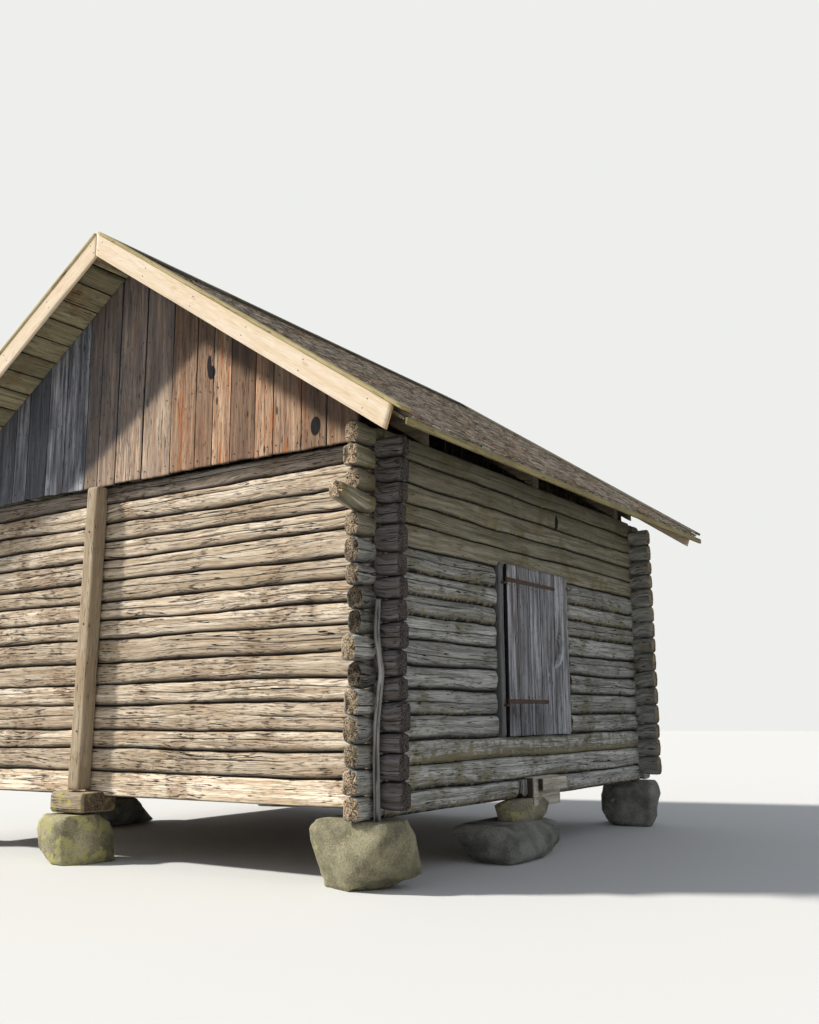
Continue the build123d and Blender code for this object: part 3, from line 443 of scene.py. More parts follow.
def timber_piece(name, solids, wood, nodes, body="house"):
    """Join swept solids into one piece, facing outwards, with its grain map and marks."""
    points, quads, grain, tones, count = [], [], [], [], 0
    for some_points, some_quads, some_grain, some_tones in solids:
        a, b, c = (some_points[some_quads[:, i]] for i in range(3))
        d = some_points[some_quads[:, 3]]
        if np.einsum("ij,ij->i", a, np.cross(b, c) + np.cross(c, d)).sum() < 0:
            some_quads, some_grain = some_quads[:, ::-1], some_grain[:, ::-1]
        points.append(some_points)
        quads.append(some_quads + count)
        grain.append(some_grain)
        tones.append(some_tones)
        count += len(some_points)
    points, quads = np.concatenate(points), np.concatenate(quads)
    grain, tones = np.concatenate(grain), np.concatenate(tones)
    corners, uv = [], []
    for face, spots in zip(quads.tolist(), grain.tolist()):
        kept = [n for n in range(4) if face[n] != face[n - 1]]
        corners.append([face[n] for n in kept])
        uv += [spots[n] for n in kept]
    mesh = bpy.data.meshes.new(name)
    mesh.from_pydata(points.tolist(), [], corners)
    layer = mesh.uv_layers.new(name="grain")
    layer.data.foreach_set("uv", np.array(uv, np.float32).ravel())
    attribute = mesh.attributes.new("marks", "FLOAT_COLOR", "POINT")
    attribute.data.foreach_set("color", tones.astype(np.float32).ravel())
    finish_piece(bpy.data.objects.new(name, mesh), wood, nodes, body)


def seats(course, levels):
    """Heights at which a log's notches seat on the logs that cross it below and above."""
    low, high = levels[course], levels[course + 1]
    if levels is GABLE_LEVELS:
        return (low + SIDE_LEVELS[course + 1]) / 2, (SIDE_LEVELS[course + 1] + high) / 2
    under = (low + GABLE_LEVELS[course]) / 2 if course > 0 else None
    return under, (GABLE_LEVELS[course] + high) / 2 if course < 15 else None


def log(wall, course, levels, start, end, centre, outward, axis, seed, step=0.03, top=0.015, under=0.052,
        furrow=0.011, rough=1.0, cross=(), grown=0.0, lip=0.0, tint=0.5, recess=0.0, crack=0.02, coarse=0.004,
        tip=None, ends=(0.006, 0.006), tail_tint=(None, None), tail_round=(0.30, 0.34)):
    """One hewn log between two seams, with necks at its crossings and a long drying check."""
    low, high = levels[course], levels[course + 1]
    stations = list(np.arange(start, end, step)) + [end, start + 0.012, end - 0.012]
    for c in cross:
        stations += [c - NOTCH - 0.001, c - NOTCH, c + NOTCH, c + NOTCH + 0.001, c - 0.072, c + 0.072]
    u = np.array(sorted(s for s in set(np.round(stations, 4)) if start <= s <= end))
    bank = {"gable": 100, "back": 200, "door": 300, "far": 400}[wall]

    def wave(size, number, spread):
        return size * ripple(bank + number, u / spread + number)

    def seam(number):
        share = 1.0 if 0 < number < len(levels) - 1 else 0.3
        return share * (wave(0.009, number, 0.85) + wave(0.0035, 50 + number, 0.22))

    calm, tail, drum = np.ones_like(u), np.zeros_like(u), np.ones_like(u)
    neck = np.zeros(len(u), bool)
    tone = np.full(len(u), float(tint))
    for c in cross:
        away = np.abs(u - c)
        calm *= np.clip((away - NOTCH) / 0.10, 0, 1)
        neck |= away <= NOTCH + 0.0005
        outside = (u < c) if c < 0 else (u > c)
        tail = np.where(outside, np.clip((away - NOTCH) / 0.03, 0, 1), tail)
        drum = np.where(outside, 0.80 + 0.20 * np.sin(pi / 2 * np.clip((away - NOTCH) / 0.13, 0, 1)), drum)
        darker = tail_tint[0 if c < 0 else 1]
        if darker is not None:
            tone = np.where(outside, darker, tone)
    z0 = low + seam(course) * calm
    z1 = high - 0.0006 + seam(course + 1) * calm
    mid = (z0 + z1) / 2
    half = HALF_LOG * (1 - tail * (0.03 + 0.05 * ripple(5, seed * 1.7)))
    z0, z1 = mid + (z0 - mid) * drum * (1 - 0.04 * tail), mid + (z1 - mid) * drum * (1 - 0.04 * tail)
    under_seat, over_seat = seats(course, levels)
    if over_seat is not None:
        z1 = np.where(neck, over_seat - 0.0006, z1)
    if under_seat is not None:
        z0 = np.where(neck, under_seat + 0.0004, z0)
    half = np.where(neck, HALF_NECK - 0.0006, half)
    for edge in (start, end):
        pull = np.where(np.abs(u - edge) < 0.0119, 0.93, 1.0)
        z0, z1, half = mid + (z0 - mid) * pull, mid + (z1 - mid) * pull, half * pull
    if tip:
        share = np.clip((tip[0] - u) / (tip[0] - start), 0, 1)
        z0, z1 = z0 + tip[1] * share, z1 + tip[2] * share
    height = z1 - z0
    round_top = np.minimum(top, height * 0.3) * (1 - tail) + tail_round[0] * height * tail
    sag = under * (1 + wave(0.45, seed + 11, 0.7))
    round_low = np.minimum(sag, height * 0.38) * (1 - tail) + tail_round[1] * height * tail
    contact = half * (HALF_CONTACT / HALF_LOG)
    flat0, flat1 = z0 + round_low, z1 - round_top
    spot = 0.5 + wave(0.22, seed + 3, 0.9)
    width = 0.0045 / (flat1 - flat0)
    deep = furrow * np.clip(0.75 + wave(1.4, seed + 4, 1.1), 0, 1.3) * np.clip(calm, 0, 1)
    shallow = half - contact
    outline = []

    def cheek(share, inwards=0.0):
        outline.append((half + 0.005 * calm * np.sin(pi * np.clip(share, 0, 1)) - inwards,
                        flat0 + (flat1 - flat0) * share, 1.0, 0.0))

    def corner(side, level, rise, turned, outer, shade):
        turn = pi / 2 * turned
        outline.append((side * (half - shallow * (1 - cos(turn))), level + rise * sin(turn), outer, shade))

    for share in (0.0, 0.42, 0.82, 1.0):
        cheek((spot - width) * share)
    cheek(spot, deep)
    for share in (1.0, 0.82, 0.42, 0.0):
        cheek(1 - (1 - spot - width) * share)
    # The shade values darken each log's top shoulder, its seams and its lower lip: painted shade in the gaps
    # between the logs.
    for turned, outer, shade in ((0.35, 1.0, 0.0), (0.7, 1.0, 0.25), (1.0, 0.4, 0.9)):
        corner(1, flat1, round_top, turned, outer, shade)
    outline.append((half * 0, z1 + np.where(neck, 0, CROWN), 0.0, 0.9))
    for turned in (1.0, 0.5):
        corner(-1, flat1, round_top, turned, 0.35, 0.0)
    for share in (1.0, 0.5, 0.0):
        outline.append((-half, flat0 + (flat1 - flat0) * share, 0.35, 0.0))
    for turned in (0.5, 1.0):
        corner(-1, flat0, -round_low, turned, 0.35, 0.0)
    outline.append((half * 0, z0 + np.where(neck, 0, CROWN), 0.0, 0.9))
    for turned, outer, shade in ((1.0, 0.4, 1.0), (0.8, 1.0, 1.0), (0.62, 1.0, 1.0), (0.42, 1.0, 0.65),
                                 (0.2, 1.0, 0.08)):
        corner(1, flat0, -round_low, turned, outer, shade)
    a, z = np.stack([o[0] for o in outline], 1), np.stack([o[1] for o in outline], 1)
    outer, shade = np.array([o[2] for o in outline]), np.array([o[3] for o in outline])
    around = a.shape[1]
    tangent_a = np.roll(a, -1, 1) - np.roll(a, 1, 1)
    tangent_z = np.roll(z, -1, 1) - np.roll(z, 1, 1)
    size = np.hypot(tangent_a, tangent_z) + 1e-9
    where = np.stack([np.repeat(u[:, None], around, 1), z, a], -1)
    push = 0.0050 * lumps(where / (0.75, 0.16, 0.3) + seed, seed + 5)
    push += 0.0042 * rough * lumps(where / (0.24, 0.034, 0.05) + seed, seed + 6)
    push += 0.0024 * rough * lumps(where / (0.08, 0.017, 0.05) + seed, seed + 7)
    push = push * outer * np.clip(0.15 + calm + 0.6 * tail, 0, 1)[:, None]
    a, z = a + push * tangent_z / size, z - push * tangent_a / size * 0.5
    a = a - (recess + wave(0.004, seed + 9, 2.2) * calm)[:, None] * (outer == 1.0) * calm[:, None]
    marks = np.zeros((len(u), around, 4))
    marks[..., 0] = tone[:, None]
    # Blue marks carry this painted shade, less on the ends, and also darken the bottom of the drying check,
    # painted shade in the check.
    marks[..., 2] = shade * np.where(tail > 0.5, 0.6, 1.0)[:, None]
    marks[:, 4, 2] = np.clip(deep / 0.008, 0, 1)
    marks[..., 3] = grown(u)[:, None] if callable(grown) else grown
    marks[..., 3] *= np.arange(around) < 11
    marks[:, around - 4:, 3] = lip * (1 - tail)[:, None]
    for point, share in ((0, 1.0), (1, 0.8)):
        marks[:, point, 3] = np.maximum(marks[:, point, 3], share * lip * (1 - tail))
    rings = np.empty((len(u), around, 3))
    rings[..., 2] = z
    rings[..., "XY".index(axis)] = u[:, None]
    rings[..., "YX".index(axis)] = centre + outward * a
    return swept(rings, u, marks, ends=ends, seed=seed, crack=crack, coarse=coarse)


gable_wood = weathered_wood("sun_bleached_hewn_pine", "fcecd4", "c2aa8c", "33281f", "b79d80", "c2bb62",
                            flecks=1.0, relief=1.9, stain="b59c82", dark="5d616b")
GABLE_TINTS = (-1.0, 0.55, 0.2, 0.5, 0.15, 0.6, 0.75, 0.2, 0.1, 0.65, 0.4, 0.2, 0.5, 0.15, 1.5)
TAIL = 0.206
RIGHT_TAILS = (0.215, 0.20, 0.20, 0.215, 0.195, 0.185, 0.205, 0.19, 0.20, 0.19, 0.20, 0.185, 0.205, 0.215,
               0.215)


def lichen_patch(u):
    """Lichen on the course beside the prop: thick right of it and thin elsewhere."""
    return 0.10 + 0.34 * np.clip(1 - np.abs(u + 0.3) / 1.1, 0, 1)


# The gable logs' ends beyond the door wall take a tint of 1.8, painted shade with some weathering, and the
# top log, set back under the boards, a tint of 1.5, painted shade.
solids = []
for course in range(15):
    solids.append(log("gable", course, GABLE_LEVELS, -HALF_WIDTH - TAIL, HALF_WIDTH + RIGHT_TAILS[course],
                      -CROSS_Y, -1, "X", seed=course + 1, cross=(-CROSS_X, CROSS_X), tint=GABLE_TINTS[course],
                      grown=lichen_patch if course == 7 else 0.05, recess=0.035 if course == 14 else 0.0,
                      furrow=0.001 if course in (0, 5) else 0.016, rough=0.35 if course == 0 else 1.6,
                      under=0.025 if course == 0 else 0.052, crack=0.016, coarse=0.006, tail_tint=(None, 1.8),
                      tail_round=(0.14, 0.17)))
timber_piece("front_gable_log_wall", solids, gable_wood, ["front_gable_logs"])

side_wood = weathered_wood("shaded_silver_grey_hewn_pine", "c9c8c0", "8c8a82", "22201d", "c2ab8c", "8b8262",
                           flecks=0.75, relief=1.3, stain="85816a", dark="4a4640")
# The upper logs get one hole above the door, not cut but painted near-black: painted shade.
upper_wood = weathered_wood("dry_olive_brown_upper_logs", "a69f89", "706a58", "221f17", "d2b898", "a89650",
                            flecks=-0.2, relief=0.6, stain="7a6e4a", dark="4a4640",
                            painted_holes=(((2.592, 0.518, 2.985), (0.05, 0.034, 0.080)),))
END_X, END_Y = 2.791, 2.721
solids = [log("back", course, GABLE_LEVELS, -END_X, END_X, CROSS_Y, 1, "X", seed=course + 21, step=0.06,
              cross=(-CROSS_X, CROSS_X), tint=(course * 0.37) % 1, grown=0.1, tail_tint=(None, 0.5))
          for course in range(15)]
timber_piece("back_gable_log_wall", solids, side_wood, ["back_gable_logs"])

FRONT_TAILS = (0.20, 0.21, 0.20, 0.205, 0.20, 0.165, 0.235, 0.16, 0.165, 0.195, 0.205, 0.20, 0.39, 0.19,
               0.225, 0.205)
SIDE_GROWN = (0.30, 0.36, 0.50, 0.12, 0.10, 0.05, 0.0, 0.0, 0.0, 0.10, 0.10, 0.3, 0.34, 0.36, 0.34, 0.30)
SIDE_TINTS = (-0.9, -1.0, -0.9, -0.1, 0.3, 0.1, 0.4, -0.1, 0.6, 0.2, 0.5, 0.2, 0.6, 0.3, 0.7, 0.9)
SIDE_LIPS = (0.52, 0.50, 0.62, 0.44, 0.48, 0.40, 0.34, 0.42, 0.50, 0.52, 0.50) + (0.40,) * 5
ROTTED, SQUARED, JUTTING = (5, 7, 8), (0, 1, 4, 6, 14), 12
OPENING_START, OPENING_END, JAMB = -0.607, 0.598, 0.088
SILL_GAP = (-0.386, 0.273)
DOOR_HEAD = 2.4665


def side_course(course, start, end):
    """One piece of a course of the wall with the door. The logs over the door are newer and smoother."""
    rotted = course in ROTTED and start < 0
    squared, old = course in SQUARED, course < 11
    if 2 < course < 11:
        ragged = 0.045 * (0.5 + 0.5 * ripple(12, course * 3.3, start))
        start, end = (start + ragged, end) if start > 0 else (start, end - ragged)
    return log("door", course, SIDE_LEVELS, start, end, CROSS_X, 1, "Y", seed=course + 41,
               cross=(-CROSS_Y, CROSS_Y), tint=SIDE_TINTS[course], grown=SIDE_GROWN[course],
               top=0.032 if old else 0.014, under=0.055 if old else 0.022, rough=1.1 if old else 0.35,
               furrow=0.014 if 3 < course < 11 else 0.004, crack=0.03, coarse=0.016 if rotted else 0.009,
               ends=(-0.035 if rotted else 0.006, 0.006), lip=SIDE_LIPS[course],
               tip=(-2.60, 0.062, 0.035) if course == JUTTING else None,
               tail_tint=(1.3 if rotted else 0.0 if squared else -0.8 if course == JUTTING else 0.6, None),
               tail_round=(0.14, 0.16) if squared else (0.30, 0.34))


lots = {"lower": [], "near": [], "far": [], "upper": []}
for course in range(16):
    start, end = -HALF_LENGTH - FRONT_TAILS[course], HALF_LENGTH + TAIL
    if course == 0:
        lots["lower"].append(side_course(0, start, SILL_GAP[0]))
        lots["lower"].append(side_course(0, SILL_GAP[1], end))
    elif 2 < course and SIDE_LEVELS[course + 1] < DOOR_HEAD:
        lots["near"].append(side_course(course, start, OPENING_START - JAMB - 0.012))
        lots["far"].append(side_course(course, OPENING_END + JAMB + 0.012, end))
    else:
        lots["lower" if course < 3 else "upper"].append(side_course(course, start, end))
for name, solids in lots.items():
    wood = upper_wood if name == "upper" else side_wood
    timber_piece("log_wall_" + name, solids, wood, ["door_wall_" + name + "_logs"])
solids = [log("far", course, SIDE_LEVELS, -END_Y, END_Y, -CROSS_X, -1, "Y", seed=course + 71, step=0.06,
              cross=(-CROSS_Y, CROSS_Y), tint=(course * 0.43) % 1, grown=0.1) for course in range(16)]
timber_piece("far_side_log_wall", solids, side_wood, ["far_side_wall_logs"])


# Timber under the door.
# The lower log is cut short there and a cleat, a squared beam end and a block fill the gap.
# All are sawn or hewn from pine, set on the stones and only wedged in place.
def boxes_along(node, axis):
    """The boxes of the separate solids of a CAD node that stand side by side along an axis."""
    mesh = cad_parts[node].data
    spots = np.empty(len(mesh.vertices) * 3)
    mesh.vertices.foreach_get("co", spots)
    spots = spots.reshape(-1, 3)
    mesh.calc_loop_triangles()
    corners = np.array([t.vertices[:] for t in mesh.loop_triangles])
    low, high = spots[corners].min(1), spots[corners].max(1)
    order = np.argsort(low[:, axis])
    boxes = []
    for n in order:
        if boxes and low[n, axis] <= boxes[-1][1][axis] + 1e-5:
            boxes[-1][0] = np.minimum(boxes[-1][0], low[n])
            boxes[-1][1] = np.maximum(boxes[-1][1], high[n])
        else:
            boxes.append([low[n].copy(), high[n].copy()])
    return boxes


X, Y, Z = np.eye(3)


def plank(middle, along, across, out, span, width, thick, seed, step=0.08, wave=0.002, rough=0.0012, tint=0.5,
          grown=0.0, ease=0.003, side_shade=0.3, taper=(1.0, 1.0), cell=0.035, splits=0.0, marks_at=None):
    """A board or squared timber. It runs along one direction from a middle point. Span is its start
    and end, or a function that gives them for each place across its width."""
    along, across, out = (np.array(v, float) / np.linalg.norm(v) for v in (along, across, out))
    faces = max(2, round((width - 2 * ease) / cell) + 1)
    backs = max(2, round(faces / 2))
    w, t = width / 2, thick / 2
    outline = [(a, t, 0, 1) for a in np.linspace(-w + ease, w - ease, faces)]
    outline += [(w - 0.3 * ease, t - 0.3 * ease, 1, 1), (w, t - ease, 1, 0)]
    sides = max(1, round(thick / 0.05))
    outline += [(w, t - ease - (thick - 2 * ease) * s / sides, 1, 0) for s in range(1, sides + 1)]
    outline += [(w - 0.3 * ease, -t + 0.3 * ease, 1, -1)]
    outline += [(a, -t, 0, -1) for a in np.linspace(w - ease, -w + ease, backs)]
    outline += [(-w + 0.3 * ease, -t + 0.3 * ease, -1, -1), (-w, -t + ease, -1, 0)]
    outline += [(-w, -t + ease + (thick - 2 * ease) * s / sides, -1, 0) for s in range(1, sides + 1)]
    outline += [(-w + 0.3 * ease, t - 0.3 * ease, -1, 1)]
    a, b, sideways, forward = (np.array(v, float) for v in zip(*outline))
    start, end = (np.broadcast_to(v, a.shape) for v in (span(a) if callable(span) else span))
    count = max(3, int(np.max(end - start) / step) + 1)
    share = np.concatenate([[0.0, 0.35 / count], np.linspace(0, 1, count)[1:-1], [1 - 0.35 / count, 1.0]])
    u = start + share[:, None] * (end - start)
    narrow = (taper[0] + (taper[1] - taper[0]) * share)[:, None]
    size = np.ones_like(share)
    size[[0, -1]] = 1 - 0.5 * ease / w
    aa = a * narrow * size[:, None]
    aa = aa + sideways * wave * ripple(seed, u / 0.7 + seed, sideways * 2 + seed, seed)
    bb = b * size[:, None] + forward * rough * ripple(seed + 1, u / 0.24 + seed, a / 0.028 + seed, seed)
    bb = bb + 0.8 * wave * ripple(seed + 2, u / 1.3 + seed, a / 0.3 + seed, seed)
    rings = np.array(middle) + u[..., None] * along + aa[..., None] * across + bb[..., None] * out
    marks = np.zeros(rings.shape[:2] + (4,))
    marks[..., 0] = tint
    # The board's edges are darkened by side_shade: painted shade in the joints between boards.
    marks[..., 2] = side_shade * np.abs(sideways) * (1 - 0.5 * np.abs(forward))
    marks[..., 3] = grown
    if marks_at is not None:
        marks = marks_at(rings, marks)
    return swept(rings, u.mean(1), marks, ends=(0.001, 0.001), seed=seed, crack=splits)


def block(low, high, seed, ease=0.012, grown=0.2, tint=0.4, wave=0.004, rough=0.003, marks_at=None):
    """A squared block between two corners, with its grain along its longest side."""
    low, high = np.array(low), np.array(high)
    size, axes = high - low, np.eye(3)
    thin, wide, long = np.argsort(size)
    reach = size[long] / 2 - 0.002
    inset = 0.8 * rough + 0.8 * wave
    return plank((low + high) / 2, axes[long], axes[wide], axes[thin], (-reach, reach),
                 size[wide] - 2 * inset, size[thin] - 2 * inset, seed, step=0.04, ease=ease, tint=tint,
                 grown=grown, side_shade=0.0, splits=0.01, wave=wave, rough=rough, cell=0.03,
                 marks_at=marks_at)


block_wood = weathered_wood("pale_sawn_block_wood", "e2dac8", "b7ae9b", "4b4439", "8f7d66", "b0a878",
                            flecks=0.1, relief=0.7, stain="a59c84", dark="3c3d44")


def dark_ends(rings, marks):
    """Darken the sawn ends of a block."""
    marks[[0, -1], :, 0] = 1.7
    return marks


low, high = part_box("sill_cleat")
cleat = plank((Vector(low) + Vector(high)) / 2, Z, Y, X,
              lambda a: (-0.073 + 0.03 * (np.abs(a) / 0.055) ** 3, 0.073), 0.110, 0.112, 91, step=0.03,
              ease=0.012, tint=0.9, side_shade=0.1, splits=0.01, rough=0.003)
timber_piece("sill_cleat_timber", [cleat], side_wood, ["sill_cleat"])
for seed, node, raised in ((93, "sill_beam_end", 0.016), (94, "step_block", 0.004)):
    low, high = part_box(node)
    solid = block(low, (high[0], high[1], high[2] + raised), seed, grown=0.3, tint=0.0, wave=0.002,
                  rough=0.002, marks_at=dark_ends)
    timber_piece(node + "_timber", [solid], block_wood, [node])


# Door posts, leaf and its iron.
# Five planed pine boards nailed to two ledges, gone silver grey with brown run-off below the
# straps. Two forged straps, rusted brown, roll round pins driven into the post. The pull is
# a bowed piece of plank. The posts stand in slots cut in the log ends.
door_wood = weathered_wood("silvered_planed_door_boards", "cfcfd2", "6f6e70", "221f1f", "6e665a", "9a9a5a",
                           flecks=0.4, relief=1.0, stain="5f534d", streaky=True, knots=0.6)
post_wood = weathered_wood("weathered_door_posts", "b4b4b4", "7c7c7c", "37322b", "6e665a", "9a9a5a",
                           flecks=0.4, stain="5f5a4c")
ledge_wood = weathered_wood("sheltered_door_ledges", "a48f70", "8b7658", "4d3d2b", along="Y", flecks=0.1,
                            relief=0.5)


def run_off(rings, marks):
    """Darken boards where rain has washed rust and dust down from the straps."""
    y, z = rings[..., 1], rings[..., 2]
    for strap_z, reach_y, strong in ((1.2745, 0.13, 0.85), (2.3205, 0.32, 0.3)):
        under = np.clip((strap_z - z) / 0.05, 0, 1) * np.clip(1 - (strap_z - z) / 0.45, 0, 1)
        uneven = 0.6 + 0.6 * ripple(5, y / 0.05, z / 0.4)
        marks[..., 2] += strong * under * np.clip(uneven, 0, 1) * np.clip((reach_y - y) / 0.2, 0, 1)
    return marks


def paint_node(node, material):
    """Give a CAD node that is shown as it is its material."""
    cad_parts[node].data.materials.clear()
    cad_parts[node].data.materials.append(material)


solids = []
for number, (low, high) in enumerate(boxes_along("door_boards", 1)):
    width, thick = high[1] - low[1], high[0] - low[0]
    half = (high[2] - low[2]) / 2 - 0.001
    solids.append(plank((low + high) / 2, Z, Y, X, (-half, half), width - 0.006, thick - 0.002, 101 + number,
                        step=0.06, wave=0.0012, rough=0.0009, tint=(0.15, 0.7, 0.35, 0.55, 0.2)[number],
                        ease=0.005, side_shade=1.0, cell=0.028, marks_at=run_off))
timber_piece("door_leaf_boards", solids, door_wood, ["door_boards"], "door_leaf")
paint_node("door_ledges", ledge_wood)

solids = []
for number, (low, high) in enumerate(boxes_along("door_jambs", 1)):
    middle = (low + high) / 2
    middle[1] = (OPENING_START - JAMB / 2, OPENING_END + JAMB / 2)[number]
    half = (high[2] - low[2]) / 2 - 0.001
    # The post on the hinge side is painted much darker than the other, partly for its darker wood and partly
    # as painted shade.
    solids.append(plank(middle, Z, Y, X, (-half, half), JAMB - 0.006, high[0] - low[0] - 0.006, 111 + number,
                        wave=0.003, rough=0.002, ease=0.012, tint=(1.25, 0.1)[number], side_shade=0.25,
                        splits=0.01))
timber_piece("door_posts", solids, post_wood, ["door_jambs"])

# Forged iron under a brown skin of rust, in scales of 17 mm over pits of 4 mm.
iron, tree = new_material("rusted_forged_iron")
place = add_node(tree, "ShaderNodeTexCoord").outputs["Object"]
scales = add_node(tree, "ShaderNodeTexNoise",
                  {"Vector": place, "Scale": 60.0, "Detail": 6.0, "Roughness": 0.7})
pits = add_node(tree, "ShaderNodeTexNoise", {"Vector": place, "Scale": 240.0, "Detail": 3.0})
share = add_node(tree, "ShaderNodeMapRange", {0: scales, 1: 0.36, 2: 0.62})
rust = add_node(tree, "ShaderNodeMix", {0: share, 6: colour("2d231e"), 7: colour("5c4336")}, data_type="RGBA")
dents = add_node(tree, "ShaderNodeMath", {0: scales, 1: pits}, operation="ADD")
bump = add_node(tree, "ShaderNodeBump", {"Strength": 0.6, "Distance": 0.002, "Height": dents})
metal = add_node(tree, "ShaderNodeBsdfPrincipled",
                 {"Base Color": rust, "Roughness": 0.8, "Metallic": 0.25, "Normal": bump})
add_node(tree, "ShaderNodeOutputMaterial", {"Surface": metal})
paint_node("hinge_pintles", iron)

PIN_X, BOARD_FACE, STRAP_FACE = 2.6258, 2.6236, 2.6286
BARREL_SIDES, STRAP_SIDES = 20, 6
parts = []
for number, (low, high) in enumerate(boxes_along("door_strap_hinges", 2)):
    z, tip = (low[2] + high[2]) / 2, high[1]
    turns = np.linspace(0, 2 * pi, BARREL_SIDES, endpoint=False)
    rims = [(0.0071, -0.02), (0.0120, -0.02), (0.0120, 0.02), (0.0071, 0.02)]
    points = [(PIN_X + r * cos(t), OPENING_START + r * sin(t), z + h) for t in turns for r, h in rims]
    faces = []
    for i in range(BARREL_SIDES):
        here, there = 4 * i, 4 * ((i + 1) % BARREL_SIDES)
        faces += [(here + j, there + j, there + (j + 1) % 4, here + (j + 1) % 4) for j in range(4)]
    parts.append((np.array(points), faces))
    reach = np.concatenate([np.linspace(-0.600, tip - 0.04, 24),
                            tip - 0.02 + 0.02 * np.sin(np.linspace(-1.2, pi / 2, 8))])
    half = 0.020 - 0.004 * (reach + 0.600) / (tip + 0.600) + 0.0015 * ripple(7 + number, reach / 0.05)
    rounded = np.sqrt(np.clip((tip - reach) / 0.022, 0.02, 1))
    half = np.where(reach > tip - 0.06, 0.0185, half) * rounded
    sag = 0.0012 * ripple(9 + number, reach / 0.2, 3.0)
    bevel, points, faces = STRAP_FACE - 0.0012, [], []
    for y, h, s in zip(reach, half, sag):
        points += [(BOARD_FACE, y, z - h), (bevel, y, z - h), (STRAP_FACE, y, z - h * 0.7 + s),
                   (STRAP_FACE, y, z + h * 0.7 + s), (bevel, y, z + h), (BOARD_FACE, y, z + h)]
    for i in range(0, len(points) - STRAP_SIDES, STRAP_SIDES):
        nxt = i + STRAP_SIDES
        faces += [(i + j, i + (j + 1) % STRAP_SIDES, nxt + (j + 1) % STRAP_SIDES, nxt + j)
                  for j in range(STRAP_SIDES)]
    faces += [tuple(range(STRAP_SIDES - 1, -1, -1)), tuple(range(len(points) - STRAP_SIDES, len(points)))]
    parts.append((np.array(points), faces))
place_mesh("forged_door_straps", *join(parts), iron, ["door_strap_hinges"], "forged_iron", "door_leaf",
           smooth=False)

pull_wood = weathered_wood("worn_grey_pull", "d2d4d8", "a6a8ac", "4a4a4c", along="Z", flecks=0.2, relief=0.6)
pull_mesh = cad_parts["door_handle"].data.copy()
shape = bmesh.new()
shape.from_mesh(pull_mesh)
bmesh.ops.remove_doubles(shape, verts=shape.verts, dist=0.00005)
sharp = [e for e in shape.edges if len(e.link_faces) == 2 and e.calc_face_angle() > 0.6]
bmesh.ops.bevel(shape, geom=sharp, offset=0.004, segments=2, profile=0.5, affect="EDGES")
for vertex in shape.verts:
    worn = 0.0012 * lumps(np.array(vertex.co) / (0.03, 0.03, 0.12), 3)
    vertex.co += vertex.normal * float(worn)
shape.to_mesh(pull_mesh)
shape.free()
pull = bpy.data.objects.new("bowed_door_pull", pull_mesh)
finish_piece(pull, pull_wood, ["door_handle"], "door_leaf", smooth=False)


# Floor, ridge log and rafters.
# Unpainted inner timber: sawn floor boards on hewn joists, a round ridge log and squared
# rafters. They are browner than the walls, because no rain reaches them.
for name, pale, mid, deep, along, flecks, relief, nodes in (
        ("sheltered_floor_boards", "a08a6c", "86714f", "463726", "Y", 0.2, 0.5, ["floor_boards"]),
        ("sheltered_hewn_joists", "9c8768", "80694b", "43341f", "X", 0.3, 0.7, ["floor_joists"]),
        ("round_ridge_pine", "8f7c60", "705f48", "3a2e20", "Y", 0.4, 0.8, ["ridge_log"]),
        ("squared_rafters", "7e735f", "625848", "332b20", "X", 0.3, 0.7,
         ["ridge_posts", "rafters_door_side", "rafters_far_side", "gable_rafters_door_side",
          "gable_rafters_far_side"])):
    wood = weathered_wood(name, pale, mid, deep, along=along, flecks=flecks, relief=relief)
    for node in nodes:
        paint_node(node, wood)


# Roof boards, eave battens and ridge boards.
# Wide sawn boards run along the ridge over the rafters, grey green below from damp, with
# open joints. A fresh batten, already greened by algae, closes each eave.
RISE = 0.671
SLOPE = atan(RISE)
RIDGE_TOP = 5.288
EAVE_X, ROOF_HALF = 3.185, 3.017
DECK_TOP, DECK_THICK, DECK_ROWS = 0.0353, 0.020, 17
SIDES = ((1, "door_side"), (-1, "far_side"))


def on_slope(side, along, depth, y=0.0):
    """A point by its distance down a slope and its depth under the roof surface."""
    x = side * (along * cos(SLOPE) - depth * sin(SLOPE))
    return x, y, RIDGE_TOP - along * sin(SLOPE) - depth * cos(SLOPE)


def slope_axes(side):
    """The directions down a slope and out of it."""
    return np.array((side * cos(SLOPE), 0, -sin(SLOPE))), np.array((side * sin(SLOPE), 0, cos(SLOPE)))


deck_wood = weathered_wood("damp_grey_green_roof_boards", "a39c7c", "7e765c", "40382a", lichen="9aa05c",
                           flecks=0.25, relief=0.5, stain="84684a")
first = DECK_TOP * tan(SLOPE) + DECK_THICK * tan(SLOPE) + 0.001
last = EAVE_X / cos(SLOPE) + DECK_TOP * tan(SLOPE)
pitch = (last - first + 0.002) / DECK_ROWS
for side, name in SIDES:
    down, outward = slope_axes(side)
    solids = []
    for row in range(DECK_ROWS):
        centre = on_slope(side, first + (row + 0.5) * pitch - 0.001, DECK_TOP + DECK_THICK / 2)
        solids.append(plank(centre, Y, down, -outward, (-ROOF_HALF, ROOF_HALF), pitch - 0.010, 0.0195,
                            130 + row + 40 * (side > 0), step=0.16, wave=0.003, rough=0.0004,
                            tint=(row * 0.61 + 0.2) % 1, side_shade=0.9, grown=0.30, ease=0.002, cell=0.06))
    timber_piece("roof_deck_" + name, solids, deck_wood, ["roof_boards_" + name])

batten_wood = weathered_wood("algae_green_eave_batten", "a39868", "8a7c58", "4f452e", "8a7c4a", "a3a050",
                             flecks=0.0, relief=0.4)
for side, name in SIDES:
    low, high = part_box("eave_batten_" + name)
    batten = plank((low + high) / 2, Y, Z, side * X, (-ROOF_HALF, ROOF_HALF), 0.050, 0.023, 180 + side,
                   step=0.12, wave=0.0015, rough=0.0004, tint=0.2, grown=0.2, cell=0.02)
    timber_piece("eave_batten_strip_" + name, [batten], batten_wood, ["eave_batten_" + name])

